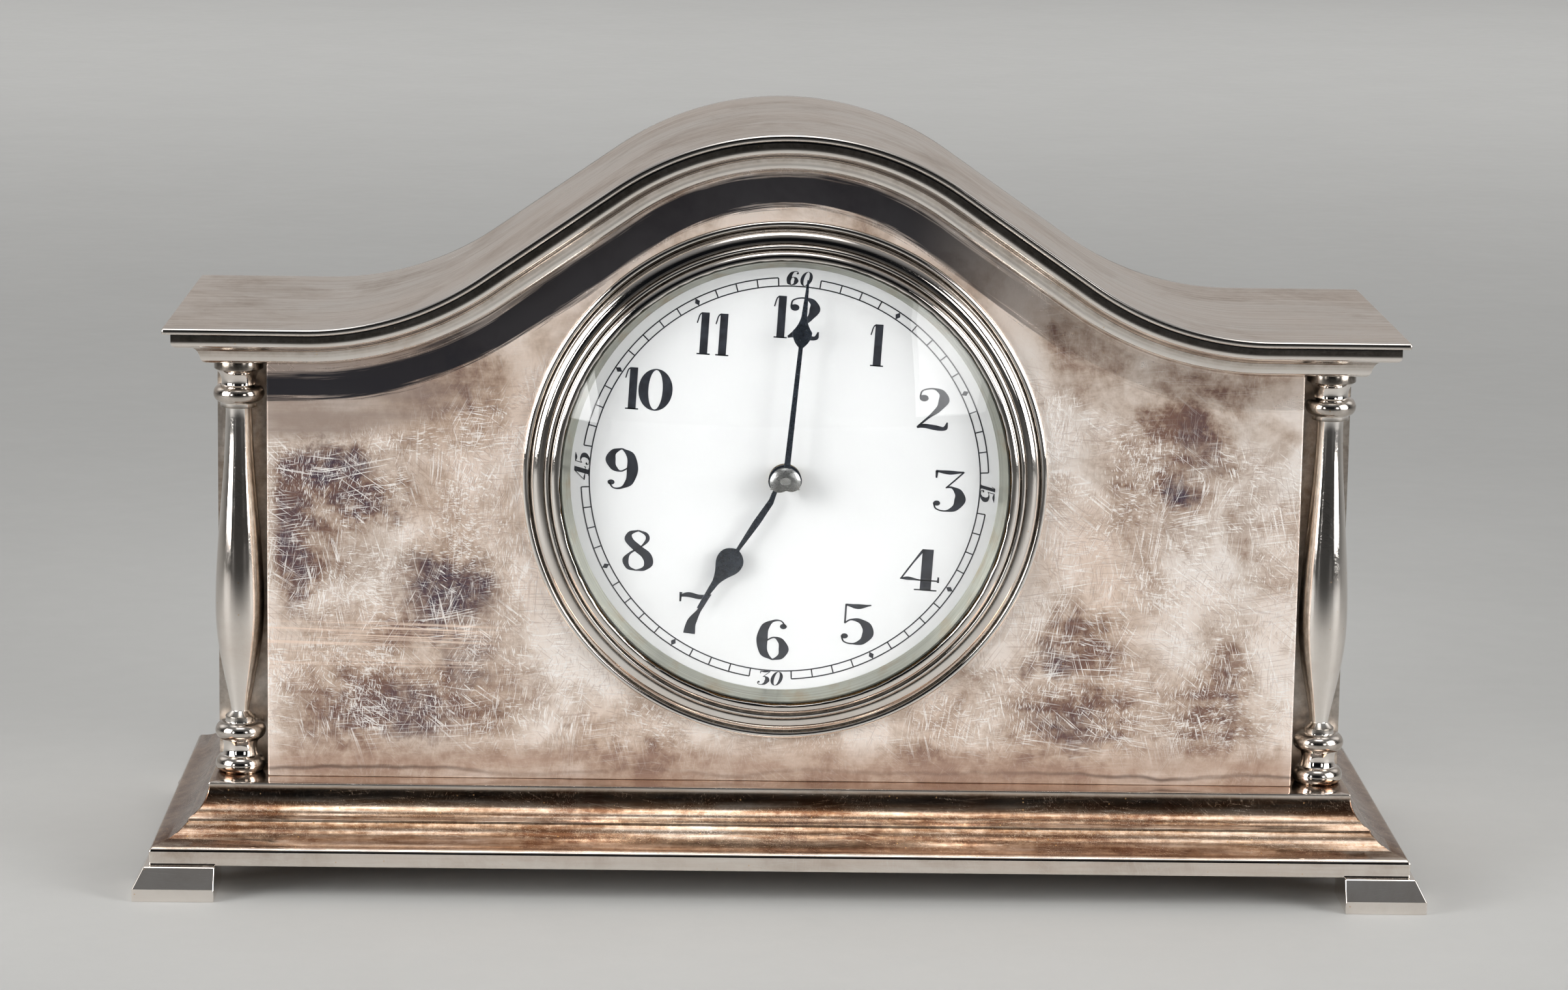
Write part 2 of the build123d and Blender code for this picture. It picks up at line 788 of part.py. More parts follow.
# Roof plate with its rounded edge
with BuildPart() as roof_plate:
    with BuildSketch(across(roof_half_depth)):
        low = arch_points(roof_sheet)[-1][1]
        with BuildLine():
            draw_arch(0, roof_half_width)
            Line((roof_half_width, shoulder_height), (roof_half_width, low))
            draw_arch(roof_sheet, roof_half_width)
            Line((-roof_half_width, shoulder_height), (-roof_half_width, low))
        make_face()
    extrude(amount=2 * roof_half_depth)
    upright = roof_plate.edges().filter_by(Axis.Z)
    along = roof_plate.edges().filter_by(Axis.Y).group_by(Axis.X)
    ends = [face for face in roof_plate.faces() if abs(face.normal_at().Y) > 0.99]
    nosing = [edge for face in ends for edge in face.edges() if edge not in upright]
    fillet(nosing + list(along[0]) + list(along[-1]), roof_rounding)
write_piece(roof_plate, "roof_plate")


# Bezel, glass, sight ring and dial, turned about the dial's axis; local y runs forward from the front panel
def dial_section():
    """Plane with the radius along local x and the distance in front of the panel along local y."""
    return Plane((0, panel_face, dial_height), x_dir=(1, 0, 0), z_dir=(0, 0, -1))


lip_seat = drum_front + glass_thickness + glass_clearance
bezel_bore = drum_radius + drum_fit
with BuildPart() as bezel:
    with BuildSketch(dial_section()):
        bead_inner = bezel_radius - 2 * bezel_bead_radius
        with BuildLine():
            Polyline((bezel_bore, lip_seat), (bezel_bore, 0), (bezel_radius, 0), (bezel_radius, bezel_bead_rise))
            ThreePointArc((bezel_radius, bezel_bead_rise),
                          (bezel_radius - bezel_bead_radius, bezel_bead_rise + bezel_bead_radius),
                          (bead_inner, bezel_bead_rise))
            Line((bead_inner, bezel_bead_rise), (band_outer_radius, bezel_groove))
            bowed((band_outer_radius, bezel_groove), (band_inner_radius, band_rise), -band_swell)
            Line((band_inner_radius, band_rise), (crest_outer_radius, band_rise))
            ThreePointArc((crest_outer_radius, band_rise),
                          ((crest_outer_radius + crest_inner_radius) / 2, crest_rise + lip_sheet),
                          (crest_inner_radius, crest_rise))
            Polyline((crest_inner_radius, crest_rise), (lip_radius, lip_seat + lip_sheet), (lip_radius, lip_seat),
                     (bezel_bore, lip_seat))
        make_face()
    revolve(axis=dial_axis)
write_piece(bezel, "bezel")

dome_foot = lip_radius - glass_clearance
dome_inner = dome_foot - glass_thickness / 2
with BuildPart() as glass:
    with BuildSketch(dial_section()):
        rim = drum_radius - glass_clearance
        face_height = drum_front + glass_thickness
        with BuildLine():
            Polyline((dome_inner, drum_front), (rim, drum_front), (rim, face_height), (dome_foot, face_height))
            SagittaArc((dome_foot, face_height), (-dome_foot, face_height), -glass_dome)
            SagittaArc((dome_inner, drum_front), (-dome_inner, drum_front), -glass_dome)
            Polyline((-dome_inner, drum_front), (-rim, drum_front), (-rim, face_height), (-dome_foot, face_height))
        make_face()
        split(bisect_by=Plane.YZ, keep=Keep.TOP)
    revolve(axis=dial_axis)
write_piece(glass, "glass")

sight_outer = drum_inner - dial_clearance
with BuildPart() as sight_ring:
    with BuildSketch(dial_section()):
        with BuildLine():
            Polyline((sight_outer, -dial_recess), (sight_radius, -dial_recess),
                     (sight_radius, sight_lip - dial_recess), (sight_outer - sight_ring_wall, drum_front),
                     (sight_outer, drum_front), close=True)
        make_face()
    revolve(axis=dial_axis)
write_piece(sight_ring, "sight_ring")

with BuildPart() as dial:
    with BuildSketch(across(dial_back)):
        with Locations(from_dial(0, 0)):
            Circle(drum_inner - dial_clearance)
            Circle(dial_hole_radius, mode=Mode.SUBTRACT)
    extrude(amount=dial_thickness)
write_piece(dial, "dial")

# Drum that carries the movement, with a ledge for the dial and the front plate, and the ring that holds it
with BuildPart() as movement_drum:
    with BuildSketch(across(drum_start + drum_length)):
        with Locations(from_dial(0, 0)):
            Circle(drum_radius)
            Circle(drum_inner, mode=Mode.SUBTRACT)
    extrude(amount=drum_length)
    with BuildSketch(across(front_plate_face)):
        with Locations(from_dial(0, 0)):
            Circle(drum_inner)
            Circle(drum_inner - ledge_width, mode=Mode.SUBTRACT)
    extrude(amount=motion_space)
    with BuildSketch(across(front_plate_face)):
        for angle in rim_screw_angles:
            with Locations(around(from_dial(0, 0), drum_inner - rim_screw_inset, angle)):
                Circle(rim_screw_radius + press_clearance)
    extrude(amount=rim_screw_reach + end_shake, mode=Mode.SUBTRACT)
write_piece(movement_drum, "movement_drum")

with BuildPart() as drum_ring:
    with BuildSketch(across(panel_back + ring_thickness)):
        with Locations(from_dial(0, 0)):
            Circle(drum_radius + ring_width)
            Circle(drum_radius + drum_fit, mode=Mode.SUBTRACT)
    extrude(amount=ring_thickness)
write_piece(drum_ring, "drum_ring")


# Toothed wheels
def tooth_outline(count, module, phase, leaf=False):
    """Points round a wheel, or round a pinion's leaves; phase is the angle in degrees of one tooth's middle."""
    addendum = leaf_addendum if leaf else wheel_addendum
    dedendum = leaf_dedendum if leaf else wheel_dedendum
    root_half = (leaf_root_share if leaf else wheel_root_share) * pi / count
    tip_half = (leaf_tip_share if leaf else wheel_tip_share) * pi / count
    root = module * (count / 2 - dedendum)
    tip = module * (count / 2 + addendum)
    points = []
    for index in range(count):
        middle = radians(phase) + index * 2 * pi / count
        for radius, turn in ((root, -root_half), (tip, -tip_half), (tip, tip_half), (root, root_half)):
            points.append((radius * cos(middle + turn), radius * sin(middle + turn)))
    return points


def meshing_phase(count, centre, other_count, other_centre, other_phase):
    """Phase that puts a gap of this wheel where the other wheel has a tooth, on the line between them."""
    to_this = degrees(atan2(centre[1] - other_centre[1], centre[0] - other_centre[0]))
    share = ((to_this - other_phase) * other_count / 360) % 1
    return to_this + 180 - (0.5 - share) * 360 / count


def root_radius(count, module):
    """Radius at the foot of a wheel's teeth."""
    return module * (count / 2 - wheel_dedendum)


def crossed_wheel(centre, front, sheet, count, module, phase, bore):
    """Brass wheel with round holes that lighten it."""
    rear = front + sheet
    room = root_radius(count, module) - wheel_rim - bore - wheel_rim
    ring = bore + wheel_rim + room / 2
    hole = min(room / 2, ring * sin(pi / wheel_holes) - wheel_spoke / 2)
    with BuildPart() as wheel:
        with BuildSketch(across(rear)):
            with Locations(centre):
                Polygon(*tooth_outline(count, module, phase), align=None)
                Circle(bore, mode=Mode.SUBTRACT)
                with PolarLocations(ring, wheel_holes, start_angle=phase):
                    Circle(hole, mode=Mode.SUBTRACT)
        extrude(amount=sheet)
    return wheel


def stepped_arbor(centre, steps, leaves=None, bore=0.0):
    """Steel arbor of round steps (front, rear, radius), with an optional pinion (front, rear, outline)."""
    with BuildPart() as arbor:
        for front, rear, radius in steps:
            with BuildSketch(across(rear)):
                with Locations(centre):
                    Circle(radius)
            extrude(amount=rear - front)
        if leaves:
            front, rear, outline = leaves
            with BuildSketch(across(rear)):
                with Locations(centre):
                    Polygon(*outline, align=None)
            extrude(amount=rear - front)
        if bore:
            with BuildSketch(across(steps[-1][1])):
                with Locations(centre):
                    Circle(bore)
            extrude(amount=steps[-1][1] - steps[0][0], mode=Mode.SUBTRACT)
    return arbor


# Where the wheels stand, seen from the front
centre_place = from_dial(0, 0)
barrel_place = from_dial(0, -barrel_drop)
barrel_reach = (barrel_teeth + intermediate_pinion) * barrel_module / 2
centre_reach = (intermediate_teeth + centre_pinion_leaves) * intermediate_module / 2
fold_cosine = (centre_reach ** 2 + barrel_drop ** 2 - barrel_reach ** 2) / (2 * centre_reach * barrel_drop)
fold = degrees(acos(fold_cosine))
intermediate_place = around(centre_place, centre_reach, -90 - fold)
third_place = around(centre_place, (centre_teeth + third_pinion) * centre_module / 2, third_angle)
fourth_place = around(third_place, (third_teeth + fourth_pinion) * third_module / 2, fourth_angle)
escape_place = around(fourth_place, (fourth_teeth + escape_pinion) * fourth_module / 2, escape_angle)
balance_place = from_dial(balance_offset_x, balance_offset_z)
motion_reach = (cannon_leaves + minute_teeth) * motion_module / 2
hour_module = 2 * motion_reach / (minute_leaves + hour_teeth)
minute_wheel_place = around(centre_place, motion_reach, minute_wheel_angle)
lever_line = degrees(atan2(balance_place[1] - escape_place[1], balance_place[0] - escape_place[0]))
pallet_place = around(escape_place, pallet_distance, lever_line)

# How the teeth stand, each wheel set by the one before it
barrel_phase = 0.0
intermediate_leaf_phase = meshing_phase(intermediate_pinion, intermediate_place, barrel_teeth, barrel_place,
                                        barrel_phase)
intermediate_phase = intermediate_leaf_phase
centre_leaf_phase = meshing_phase(centre_pinion_leaves, centre_place, intermediate_teeth, intermediate_place,
                                  intermediate_phase)
centre_phase = centre_leaf_phase
third_leaf_phase = meshing_phase(third_pinion, third_place, centre_teeth, centre_place, centre_phase)
third_phase = third_leaf_phase
fourth_leaf_phase = meshing_phase(fourth_pinion, fourth_place, third_teeth, third_place, third_phase)
fourth_phase = fourth_leaf_phase
escape_leaf_phase = meshing_phase(escape_pinion, escape_place, fourth_teeth, fourth_place, fourth_phase)
cannon_phase = 0.0
minute_wheel_phase = meshing_phase(minute_teeth, minute_wheel_place, cannon_leaves, centre_place, cannon_phase)
minute_leaf_phase = minute_wheel_phase
hour_phase = meshing_phase(hour_teeth, centre_place, minute_leaves, minute_wheel_place, minute_leaf_phase)


def behind_front_plate(level):
    """Depth of a level measured back from the front plate."""
    return front_plate_back + level


arbor_start = front_plate_back + end_shake
arbor_end = back_plate_face - end_shake
pivot_start = front_plate_back - pivot_reach
pivot_end = back_plate_face + pivot_reach


def train_arbor(centre, count, module, leaf_phase, level, sheet):
    """Arbor between the plates with its pinion beside the wheel that drives it."""
    leaf_front = behind_front_plate(level) - pinion_overhang
    leaf_rear = behind_front_plate(level) + sheet + pinion_overhang
    steps = ((pivot_start, arbor_start, pivot_radius), (arbor_start, arbor_end, arbor_radius),
             (arbor_end, pivot_end, pivot_radius))
    leaves = (leaf_front, leaf_rear, tooth_outline(count, module, leaf_phase, leaf=True))
    return stepped_arbor(centre, steps, leaves)


# Intermediate, third, fourth and escape arbors with their wheels
write_piece(train_arbor(intermediate_place, intermediate_pinion, barrel_module, intermediate_leaf_phase,
                        barrel_level, great_wheel_sheet), "intermediate_arbor")
write_piece(crossed_wheel(intermediate_place, behind_front_plate(intermediate_level), wheel_sheet,
                          intermediate_teeth, intermediate_module, intermediate_phase,
                          arbor_radius + press_clearance), "intermediate_wheel")
write_piece(train_arbor(third_place, third_pinion, centre_module, third_leaf_phase, centre_level, wheel_sheet),
            "third_arbor")
write_piece(crossed_wheel(third_place, behind_front_plate(third_level), wheel_sheet, third_teeth, third_module,
                          third_phase, arbor_radius + press_clearance), "third_wheel")
write_piece(train_arbor(fourth_place, fourth_pinion, third_module, fourth_leaf_phase, third_level, wheel_sheet),
            "fourth_arbor")
write_piece(crossed_wheel(fourth_place, behind_front_plate(fourth_level), wheel_sheet, fourth_teeth, fourth_module,
                          fourth_phase, arbor_radius + press_clearance), "fourth_wheel")
write_piece(train_arbor(escape_place, escape_pinion, fourth_module, escape_leaf_phase, fourth_level, wheel_sheet),
            "escape_arbor")

with BuildPart() as escape_wheel:
    with BuildSketch(across(behind_front_plate(escape_level) + pallet_sheet)):
        tooth = 2 * pi / escape_teeth
        saw = ((escape_root_radius, 0.0), (escape_radius, escape_tip_start), (escape_radius, escape_tip_end),
               (escape_root_radius, escape_tooth_end))
        rim = [(radius * cos((index + share) * tooth), radius * sin((index + share) * tooth))
               for index in range(escape_teeth) for radius, share in saw]
        with Locations(escape_place):
            Polygon(*rim, align=None)
            Circle(arbor_radius + press_clearance, mode=Mode.SUBTRACT)
    extrude(amount=pallet_sheet)
write_piece(escape_wheel, "escape_wheel")

# Barrel: great wheel, drum and closed ends, running on the arbor that winds the spring
barrel_front = behind_front_plate(barrel_level)
barrel_rear = barrel_front + barrel_length
barrel_room = barrel_radius - barrel_wall
with BuildPart() as barrel:
    with BuildSketch(across(barrel_front + great_wheel_sheet)):
        with Locations(barrel_place):
            Polygon(*tooth_outline(barrel_teeth, barrel_module, barrel_phase), align=None)
    extrude(amount=great_wheel_sheet)
    with BuildSketch(across(barrel_rear)):
        with Locations(barrel_place):
            Circle(barrel_radius)
    extrude(amount=barrel_length)
    with BuildSketch(across(barrel_rear - barrel_wall)):
        with Locations(barrel_place):
            Circle(barrel_room)
    extrude(amount=barrel_length - 2 * barrel_wall, mode=Mode.SUBTRACT)
    with BuildSketch(across(barrel_rear)):
        with Locations(barrel_place):
            Circle(barrel_arbor_radius + pivot_clearance)
    extrude(amount=barrel_length, mode=Mode.SUBTRACT)
write_piece(barrel, "barrel")


def draw_spiral(inner, pitch, turns, strip):
    """Draw a flat strip wound in half circles, which ends on the side that it starts from."""
    for edge in (0, strip):
        for half in range(2 * turns):
            side = 1 if half % 2 == 0 else -1
            near = inner + edge + half * pitch / 2
            far = near + pitch / 2
            ThreePointArc((side * near, 0), (side * (near - far) / 2, side * (near + far) / 2), (-side * far, 0))
    outer = inner + turns * pitch
    Line((inner, 0), (inner + strip, 0))
    Line((outer, 0), (outer + strip, 0))


spring_inner = barrel_core_radius + mainspring_margin
mainspring_pitch = (barrel_room - mainspring_margin - mainspring_strip - spring_inner) / mainspring_turns
spring_front = barrel_front + barrel_wall + spring_end_gap
spring_rear = barrel_rear - barrel_wall - spring_end_gap
with BuildPart() as mainspring:
    with BuildSketch(Plane((barrel_place[0], spring_rear, barrel_place[1]), x_dir=(1, 0, 0), z_dir=(0, -1, 0))):
        with BuildLine():
            draw_spiral(spring_inner, mainspring_pitch, mainspring_turns, mainspring_strip)
        make_face()
    extrude(amount=spring_rear - spring_front)
write_piece(mainspring, "mainspring")

# Winding arbor with its square, the ratchet wheel behind the back plate, and the key
ratchet_front = back_plate_back + ratchet_gap
ratchet_rear = ratchet_front + ratchet_sheet
key_front = ratchet_rear + end_shake
key_rear = key_front + key_pipe_length
square_end = key_rear - key_pipe_radius
with BuildPart() as barrel_arbor:
    for front, rear, radius in ((pivot_start, ratchet_front, barrel_arbor_radius),
                                (spring_front, spring_rear, barrel_core_radius)):
        with BuildSketch(across(rear)):
            with Locations(barrel_place):
                Circle(radius)
        extrude(amount=rear - front)
    with BuildSketch(across(square_end)):
        with Locations(barrel_place):
            Rectangle(square_side, square_side)
    extrude(amount=square_end - ratchet_front)
write_piece(barrel_arbor, "barrel_arbor")

with BuildPart() as ratchet_wheel:
    with BuildSketch(across(ratchet_rear)):
        tooth = 2 * pi / ratchet_teeth
        ratchet_root = ratchet_radius - ratchet_tooth_height
        saw = ((ratchet_root, 0.0), (ratchet_radius, ratchet_tip_share))
        rim = [(radius * cos((index + share) * tooth), radius * sin((index + share) * tooth))
               for index in range(ratchet_teeth) for radius, share in saw]
        with Locations(barrel_place):
            Polygon(*rim, align=None)
            Rectangle(square_side + 2 * press_clearance, square_side + 2 * press_clearance, mode=Mode.SUBTRACT)
    extrude(amount=ratchet_sheet)
write_piece(ratchet_wheel, "ratchet_wheel")

with BuildPart() as winding_key:
    with BuildSketch(across(key_rear)):
        with Locations(barrel_place):
            Circle(key_pipe_radius)
    extrude(amount=key_pipe_length)
    with BuildSketch(Plane((0, key_rear, barrel_place[1]), x_dir=(1, 0, 0), z_dir=(0, 0, 1))):
        with Locations((-key_wing_reach, 0), (key_wing_reach, 0)):
            Circle(key_wing_radius)
        Rectangle(2 * key_wing_reach, key_wing_radius)
        with Locations((-key_wing_reach, 0), (key_wing_reach, 0)):
            Circle(key_wing_hole, mode=Mode.SUBTRACT)
    extrude(amount=key_sheet / 2, both=True)
    with BuildSketch(across(square_end + key_bore_clearance)):
        with Locations(barrel_place):
            Rectangle(square_side + 2 * key_bore_clearance, square_side + 2 * key_bore_clearance)
    extrude(amount=square_end + key_bore_clearance - key_front, mode=Mode.SUBTRACT)
write_piece(winding_key, "winding_key")

# Click and its spring, behind the back plate
click_place = around(barrel_place, click_distance, click_angle)
click_tip = around(barrel_place, ratchet_radius + click_tip_clearance + click_nose_radius, click_aim)
click_line = degrees(atan2(click_tip[1] - click_place[1], click_tip[0] - click_place[0]))
click_front = ratchet_front
click_rear = ratchet_rear
with BuildPart() as click:
    with BuildSketch(across(click_rear)):
        with Locations(click_place):
            Circle(click_boss_radius)
        with Locations(click_tip):
            Circle(click_nose_radius)
        make_hull()
        with Locations(click_place):
            Circle(click_post_radius + pivot_clearance, mode=Mode.SUBTRACT)
    extrude(amount=click_rear - click_front)
write_piece(click, "click")

spring_foot = around(click_place, click_boss_radius + click_spring_foot + click_spring_gap,
                     click_line + click_spring_turn)
with BuildPart() as click_spring:
    with BuildSketch(across(click_rear)):
        with Locations(spring_foot):
            Circle(click_spring_foot)
    extrude(amount=click_rear - back_plate_back)
    blade = Plane((spring_foot[0], click_rear, spring_foot[1]), z_dir=(0, -1, 0),
                  x_dir=(cos(radians(click_line)), 0, sin(radians(click_line))))
    with BuildSketch(blade):
        with Locations((click_spring_length / 2, 0)):
            Rectangle(click_spring_length, click_spring_strip)
    extrude(amount=click_rear - click_front)
write_piece(click_spring, "click_spring")

# Centre arbor with its hollow pinion and wheel, which grip it by friction so that the hands can be set
pipe_bore = centre_arbor_radius + pipe_clearance
centre_leaves = (behind_front_plate(intermediate_level) - pinion_overhang,
                 behind_front_plate(intermediate_level) + wheel_sheet + pinion_overhang,
                 tooth_outline(centre_pinion_leaves, intermediate_module, centre_leaf_phase, leaf=True))
write_piece(stepped_arbor(centre_place, ((arbor_start, arbor_end, centre_pipe_radius),), centre_leaves, pipe_bore),
            "centre_pinion")
write_piece(crossed_wheel(centre_place, behind_front_plate(centre_level), wheel_sheet, centre_teeth, centre_module,
                          centre_phase, centre_pipe_radius + press_clearance), "centre_wheel")

knob_front = back_plate_back + knob_stand_off
knob_rear = knob_front + knob_thickness
write_piece(stepped_arbor(centre_place, ((arbor_front, collet_front, centre_arbor_radius - press_clearance),
                                         (collet_front, knob_rear, centre_arbor_radius))), "centre_arbor")

with BuildPart() as setting_knob:
    with BuildSketch(across(knob_rear)):
        with Locations(centre_place):
            Circle(knob_radius)
            with PolarLocations(knob_radius, knob_flutes):
                Circle(knob_flute_radius, mode=Mode.SUBTRACT)
    extrude(amount=knob_thickness)
    with BuildSketch(across(knob_front)):
        with Locations(centre_place):
            Circle(knob_boss_radius)
    extrude(amount=knob_boss_length)
    with BuildSketch(across(knob_rear)):
        with Locations(centre_place):
            Circle(centre_arbor_radius + press_clearance)
    extrude(amount=knob_thickness + knob_boss_length, mode=Mode.SUBTRACT)
write_piece(setting_knob, "setting_knob")

# Motion work between the front plate and the dial
minute_wheel_rear = front_plate_face - motion_level
minute_wheel_front = minute_wheel_rear - motion_sheet
hour_wheel_rear = minute_wheel_front - motion_step
hour_wheel_front = hour_wheel_rear - motion_sheet
cannon_rear = minute_wheel_rear + pinion_overhang
cannon_leaf = (minute_wheel_front - pinion_overhang, cannon_rear,
               tooth_outline(cannon_leaves, motion_module, cannon_phase, leaf=True))
write_piece(stepped_arbor(centre_place, ((minute_hand_rear, cannon_rear, centre_pipe_radius),), cannon_leaf,
                          centre_arbor_radius + press_clearance), "cannon_pinion")

post_front = hour_wheel_front - pinion_overhang - end_shake
with BuildPart() as minute_wheel:
    with BuildSketch(across(minute_wheel_rear)):
        with Locations(minute_wheel_place):
            Polygon(*tooth_outline(minute_teeth, motion_module, minute_wheel_phase), align=None)
    extrude(amount=motion_sheet)
    with BuildSketch(across(minute_wheel_front)):
        with Locations(minute_wheel_place):
            Polygon(*tooth_outline(minute_leaves, hour_module, minute_leaf_phase, leaf=True), align=None)
    extrude(amount=minute_wheel_front - hour_wheel_front + pinion_overhang)
    with BuildSketch(across(minute_wheel_rear)):
        with Locations(minute_wheel_place):
            Circle(click_post_radius + pivot_clearance)
    extrude(amount=minute_wheel_rear - post_front, mode=Mode.SUBTRACT)
write_piece(minute_wheel, "minute_wheel")

hour_bore = centre_pipe_radius + pipe_clearance
hour_pipe_radius = hour_bore + hour_pipe_wall
with BuildPart() as hour_wheel:
    with BuildSketch(across(hour_wheel_rear)):
        with Locations(centre_place):
            Polygon(*tooth_outline(hour_teeth, hour_module, hour_phase), align=None)
    extrude(amount=motion_sheet)
    with BuildSketch(across(hour_wheel_rear)):
        with Locations(centre_place):
            Circle(hour_pipe_radius)
    extrude(amount=hour_wheel_rear - hour_hand_front)
    with BuildSketch(across(hour_wheel_rear)):
        with Locations(centre_place):
            Circle(hour_bore)
    extrude(amount=hour_wheel_rear - hour_hand_front, mode=Mode.SUBTRACT)
write_piece(hour_wheel, "hour_wheel")


# Hands
def hand_plane(rear, angle):
    """Plane of a hand: local y points along it, and local x to its right."""
    turn = radians(angle)
    return Plane((0, rear, dial_height), x_dir=(cos(turn), 0, -sin(turn)), z_dir=(0, -1, 0))


with BuildPart() as minute_hand:
    with BuildSketch(hand_plane(minute_hand_rear, minute_angle)):
        with BuildLine():
            Polyline((0, 0), (minute_root_width / 2, 0), (minute_neck_width / 2, minute_neck_reach))
            bowed((minute_neck_width / 2, minute_neck_reach), (minute_spade_width / 2, minute_spade_reach),
                  -minute_spade_round)
            bowed((minute_spade_width / 2, minute_spade_reach), (minute_taper_width / 2, minute_taper_reach),
                  minute_spade_hollow)
            Polyline((minute_taper_width / 2, minute_taper_reach), (minute_tip_width / 2, minute_length),
                     (0, minute_length), (0, 0))
        make_face()
        mirror(about=Plane.YZ)
        Circle(minute_boss_radius)
        Circle(centre_arbor_radius + press_clearance, mode=Mode.SUBTRACT)
    extrude(amount=hand_sheet)
write_piece(minute_hand, "minute_hand")

with BuildPart() as hour_hand:
    with BuildSketch(hand_plane(hour_hand_rear, hour_angle)):
        with BuildLine():
            Polyline((0, 0), (hour_root_width / 2, 0), (hour_swell_width / 2, hour_swell_reach),
                     (hour_neck_width / 2, hour_neck_reach))
            Spline((hour_neck_width / 2, hour_neck_reach), (hour_bulb_width / 2, hour_bulb_reach),
                   (hour_taper_width / 2, hour_taper_reach), tangents=((1, 0.35), (0, 1), (-0.25, 1)))
            Polyline((hour_taper_width / 2, hour_taper_reach), (hour_tip_width / 2, hour_length),
                     (0, hour_length), (0, 0))
        make_face()
        mirror(about=Plane.YZ)
        Circle(hour_boss_radius)
        Circle(hour_pipe_radius + press_clearance, mode=Mode.SUBTRACT)
    extrude(amount=hand_sheet)
write_piece(hour_hand, "hour_hand")

with BuildPart() as hand_collet:
    with BuildSketch(Plane((0, minute_hand_front, dial_height), x_dir=(1, 0, 0), z_dir=(0, 0, -1))):
        bore = centre_arbor_radius + press_clearance
        with BuildLine():
            Polyline((bore, collet_rise), (bore, 0), (collet_radius, 0), (collet_radius, collet_edge))
            bowed((collet_radius, collet_edge), (bore, collet_rise), -collet_swell)
        make_face()
    revolve(axis=dial_axis)
write_piece(hand_collet, "hand_collet")

# Lever: pallets on one side of its arbor and a fork on the other
lever_front = behind_front_plate(escape_level)
lever_rear = lever_front + pallet_sheet
lever_length = (hypot(balance_place[0] - pallet_place[0], balance_place[1] - pallet_place[1])
                - impulse_reach - impulse_radius - fork_gap)
stone_inner = pallet_half_span - pallet_stone_width / 2
stone_reach = pallet_distance - ((escape_radius + pallet_stone_clearance) ** 2 - stone_inner ** 2) ** 0.5
lever_plane = Plane((pallet_place[0], lever_rear, pallet_place[1]), z_dir=(0, -1, 0),
                    x_dir=(cos(radians(lever_line)), 0, sin(radians(lever_line))))
with BuildPart() as pallet_lever:
    with BuildSketch(lever_plane):
        Rectangle(pallet_arm_width, 2 * pallet_half_span + pallet_stone_width)
        with Locations((-stone_reach / 2, pallet_half_span), (-stone_reach / 2, -pallet_half_span)):
            Rectangle(stone_reach, pallet_stone_width)
        with Locations((lever_length / 2, 0)):
            Rectangle(lever_length, pallet_arm_width)
        with Locations((lever_length - fork_slot_depth, 0)):
            Rectangle(2 * fork_slot_depth, fork_width)
        with Locations((lever_length - fork_slot_depth / 2, 0)):
            Rectangle(fork_slot_depth, fork_slot, mode=Mode.SUBTRACT)
    extrude(amount=pallet_sheet)
    for front, rear, radius in ((pivot_start, arbor_start, pivot_radius), (arbor_start, arbor_end, arbor_radius),
                                (arbor_end, pivot_end, pivot_radius)):
        with BuildSketch(across(rear)):
            with Locations(pallet_place):
                Circle(radius)
        extrude(amount=rear - front)
write_piece(pallet_lever, "pallet_lever")

# Balance on its staff behind the back plate, its spring, the cock that holds it and the regulator
balance_front = back_plate_back + balance_lift
balance_rear = balance_front + balance_thickness
hairspring_front = balance_rear + hairspring_lift
hairspring_rear = hairspring_front + hairspring_height
cock_front = hairspring_rear + cock_gap
cock_rear = cock_front + cock_sheet
roller_front = lever_rear + fork_gap
pin_angle = lever_line
with BuildPart() as balance_wheel:
    with BuildSketch(across(balance_rear)):
        with Locations(balance_place):
            Circle(balance_radius)
            Circle(balance_radius - balance_rim, mode=Mode.SUBTRACT)
            Rectangle(2 * balance_radius - balance_rim, balance_arm_width)
    extrude(amount=balance_thickness)
    for front, rear, radius in ((pivot_start, arbor_start, pivot_radius),
                                (arbor_start, cock_front - end_shake, staff_radius),
                                (cock_front - end_shake, cock_front + pivot_reach, pivot_radius),
                                (roller_front, roller_front + roller_thickness, roller_radius),
                                (balance_rear, hairspring_rear, hairspring_radius - end_shake)):
        with BuildSketch(across(rear)):
            with Locations(balance_place):
                Circle(radius)
        extrude(amount=rear - front)
    with BuildSketch(across(roller_front)):
        with Locations(around(balance_place, impulse_reach, pin_angle)):
            Circle(impulse_radius)
    extrude(amount=roller_front - lever_front)
write_piece(balance_wheel, "balance_wheel")

cock_foot_place = around(balance_place, cock_foot_distance, cock_foot_angle)
with BuildPart() as hairspring:
    turned = Plane((balance_place[0], hairspring_rear, balance_place[1]), z_dir=(0, -1, 0),
                   x_dir=(cos(radians(cock_foot_angle)), 0, sin(radians(cock_foot_angle))))
    with BuildSketch(turned):
        with BuildLine():
            draw_spiral(hairspring_radius, hairspring_pitch, hairspring_turns, hairspring_strip)
        make_face()
    extrude(amount=hairspring_height)
write_piece(hairspring, "hairspring")

